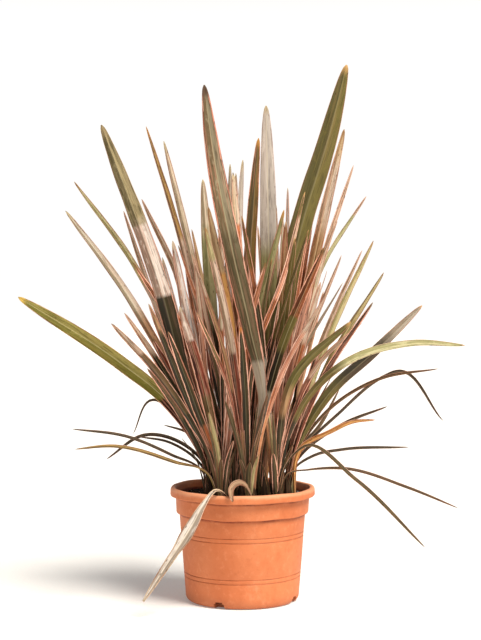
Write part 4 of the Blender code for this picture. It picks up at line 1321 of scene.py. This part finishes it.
def revolved(name, profile, finish):
    """A closed body turned from a profile that runs out from the axis and back to it."""
    work = bmesh.new()
    line = [work.verts.new((radius, 0.0, height)) for radius, height in profile]
    edges = [work.edges.new(pair) for pair in zip(line, line[1:])]
    bmesh.ops.spin(work, geom=line + edges, cent=(0, 0, 0), axis=(0, 0, 1), angle=2 * math.pi,
                   steps=FINE_STEPS, use_merge=True)
    bmesh.ops.remove_doubles(work, verts=work.verts, dist=0.000005)
    bmesh.ops.recalc_face_normals(work, faces=work.faces)
    return show(name, as_mesh(name, work), finish)


def notch_cutter(k):
    """A drain notch with rounded upper corners, across the wall at the foot."""
    angle = math.radians(NOTCH_ANGLE - 90 + 360 * k / NOTCHES)
    work = bmesh.new()
    bmesh.ops.create_cube(work, size=1.0)
    bmesh.ops.scale(work, vec=(NOTCH_DEPTH, NOTCH_WIDTH, 2 * NOTCH_HEIGHT), verts=work.verts)
    long = [edge for edge in work.edges
            if abs(edge.verts[0].co.x - edge.verts[1].co.x) > 0.01 and edge.verts[0].co.z > 0]
    bmesh.ops.bevel(work, geom=long, offset=NOTCH_ROUND, segments=4, affect="EDGES")
    place = Matrix.Translation(round_point(HEEL_RADIUS - 0.002, angle))
    work.transform(place @ Matrix.Rotation(angle, 4, "Z"))
    return add_object("notch", as_mesh("notch", work))


def make_pot(finish):
    pot = revolved("pot_shell", pot_profile(), finish)
    for k in range(NOTCHES):
        cutter = notch_cutter(k)
        modifier = pot.modifiers.new("notch", "BOOLEAN")
        modifier.operation = "DIFFERENCE"
        modifier.solver = "EXACT"
        modifier.object = cutter
        mesh = bpy.data.meshes.new_from_object(pot.evaluated_get(bpy.context.evaluated_depsgraph_get()))
        pot.modifiers.clear()
        pot.data = mesh
        bpy.data.objects.remove(cutter, do_unlink=True)
    grooves = []
    for vertex in pot.data.vertices:
        x, y, z = vertex.co
        radius = math.hypot(x, y)
        around = math.atan2(y, x)
        wobble = 0.0005 * math.sin(3 * around + 0.6) + 0.0003 * math.sin(7 * around + z * 40)
        if radius > 0.01:
            share = ease(0.0, 0.12, z)
            vertex.co.x += x / radius * wobble * share
            vertex.co.y += y / radius * wobble * share
        if z > COLLAR_FOOT - 0.002:
            vertex.co.z += 0.0004 * math.sin(5 * around + 1.0) + 0.0003 * math.sin(11 * around)
        # Painted shade: how much the finish darkens each vertex, in the band grooves and in the creases under
        # the rim's lip and the collar's foot
        depth = min(abs(z - level) for height in BAND_HEIGHTS for level in (height, height + BAND_WIDTH))
        outside = radius > outer_radius(z) - 0.0015 and z < COLLAR_FOOT - 0.004
        crease_shade = ease(COLLAR_SHADE_REACH, 0.0, abs(z - COLLAR_FOOT)) if radius < COLLAR_RADIUS - 0.002 else 0.0
        if radius < RIM_RADIUS - 0.001:
            crease_shade = max(crease_shade, ease(RIM_SHADE_REACH, 0.0, abs(z - POT_HEIGHT + RIM_DEPTH)))
        grooves.append(max(SEAM_SHADE * crease_shade, 1 - depth / GROOVE_SHADE_SPREAD, 0.0) if outside or crease_shade else 0.0)
    carry(pot.data, "groove_shade", grooves)
    pot.data.shade_smooth()
    pot.data.set_sharp_from_angle(angle=math.radians(SMOOTH_ANGLE))
    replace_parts(pot, "pot")


def round_point(radius, around, height=0.0):
    return Vector((radius * math.cos(around), radius * math.sin(around), height))


def fine_soil_top(radius, around):
    """The height of the mix's surface, crumbs and all."""
    x, y = radius * math.cos(around), radius * math.sin(around)
    level = SOIL_TOP + SOIL_DOME * (1 - (radius / SOIL_EDGE) ** 2)
    level += soil_height(x, y) * min(1.0, (SOIL_EDGE - radius) / 0.01)
    crumb = noise.fractal(Vector((x, y, 0.3)) * 260, 0.8, 2.0, 4)
    return level + CRUMB_RELIEF * crumb * min(1.0, (SOIL_EDGE - radius) / 0.004)


def make_soil(finish):
    """The mix: a lumpy top on a plug that fills the pot, and loose crumbs of bark and grit on it."""
    turns = SOIL_TURNS
    levels = [(SOIL_EDGE * ring / SOIL_RINGS, None) for ring in range(1, SOIL_RINGS + 1)]
    levels += [(outer_radius(COLLAR_FOOT - 0.004) - WALL - GAP, COLLAR_FOOT - 0.004),
               (outer_radius(0.014) - WALL - 0.001 - GAP, 0.014), (HUB_RADIUS, 0.0065)]
    points = [Vector((0.0, 0.0, fine_soil_top(0.0, 0.0)))]
    for radius, level in levels:
        for turn in range(turns):
            around = 2 * math.pi * turn / turns
            height = fine_soil_top(radius, around) if level is None else level
            points.append(round_point(radius, around, height))
    faces = [(0, 1 + turn, 1 + (turn + 1) % turns) for turn in range(turns)]
    faces += ring_faces(1, turns, len(levels))
    faces.append(list(range(len(points) - turns, len(points))))
    tones = [0.0] * len(points)
    scatter_crumbs(points, faces, tones)
    soil = new_mesh("potting_mix_top", points, faces, finish)
    carry(soil.data, "tone", tones)
    facing_out(soil.data)
    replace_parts(soil, "soil")


def scatter_crumbs(points, faces, tones):
    rng = random.Random(5)
    for _ in range(CRUMBS):
        radius = (COLLAR_RADIUS - WALL - 0.005) * math.sqrt(rng.random())
        around = rng.uniform(0, 2 * math.pi)
        size = rng.choice(CRUMB_SIZES) * rng.uniform(0.8, 1.3)
        centre = round_point(radius, around, fine_soil_top(radius, around) + size * 0.25)
        shape = bmesh.new()
        bmesh.ops.create_icosphere(shape, subdivisions=1, radius=size)
        stretch = Vector((rng.uniform(0.7, 1.9), rng.uniform(0.6, 1.2), rng.uniform(0.35, 0.8)))
        turn = Matrix.Rotation(rng.uniform(0, 6.28), 3, "Z") @ Matrix.Rotation(rng.uniform(-0.5, 0.5), 3, "X")
        first = len(points)
        tone = 0.95 + rng.random() * 0.05 if rng.random() < GRIT_SHARE else rng.uniform(0.0, 0.85)
        for vertex in shape.verts:
            jitter = 1 + rng.uniform(-0.25, 0.25)
            points.append(centre + turn @ Vector(a * b * jitter for a, b in zip(vertex.co, stretch)))
            tones.append(tone)
        for face in shape.faces:
            faces.append([first + vertex.index for vertex in face.verts])
        shape.free()


# Floor, light and camera
SUN = 4.7
SUN_FROM = (1.1, -0.95, 2.15)
SUN_SOFTNESS = 28.0
SKY = 0.20
HORIZON = 1.04
HORIZON_BAND = (0.17, 0.25)
LENS = 85.0
EYE = (-0.003, -2.5, 0.530)
TILT = 88.46


def make_floor():
    bpy.ops.mesh.primitive_plane_add(size=30.0, location=(0.0, 0.0, -0.0004))
    floor = bpy.context.object
    floor.name = "floor"
    floor.data.materials.append(floor_finish())


def make_light():
    """Soft sun from the right front, and a pale sky that is white toward the horizon."""
    sun = bpy.data.lights.new("sun", "SUN")
    sun.energy = SUN
    sun.angle = math.radians(SUN_SOFTNESS)
    sun.color = (1.0, 0.95, 0.87)
    add_object("sun", sun).rotation_euler = (-Vector(SUN_FROM)).to_track_quat("-Z", "Y").to_euler()
    world = bpy.data.worlds.new("studio")
    world.use_nodes = True
    sky = Nodes(world.node_tree)
    level = sky.math("ABSOLUTE", sky.parts(sky.place("Generated"))["Z"])
    shade = sky.tree.nodes["Background"]
    sky.put(shade, "Color", (1.0, 0.985, 0.965))
    sky.put(shade, "Strength", sky.rise(level, *HORIZON_BAND, HORIZON, SKY))
    bpy.context.scene.world = world
    bpy.context.scene.view_settings.view_transform = "Standard"


def make_camera():
    lens = bpy.data.cameras.new("camera")
    lens.lens = LENS
    lens.sensor_width = 36.0
    camera = add_object("camera", lens)
    camera.location = EYE
    camera.rotation_euler = (math.radians(TILT), 0.0, 0.0)
    bpy.context.scene.camera = camera


def main():
    make_shoots(leaf_finish("flax_leaf", 0.14, 0.0))
    make_dead_leaves(leaf_finish("dry_leaf", 0.10, 1.0))
    make_pot(pot_finish())
    make_soil(soil_finish())
    make_floor()
    make_light()
    make_camera()


main()
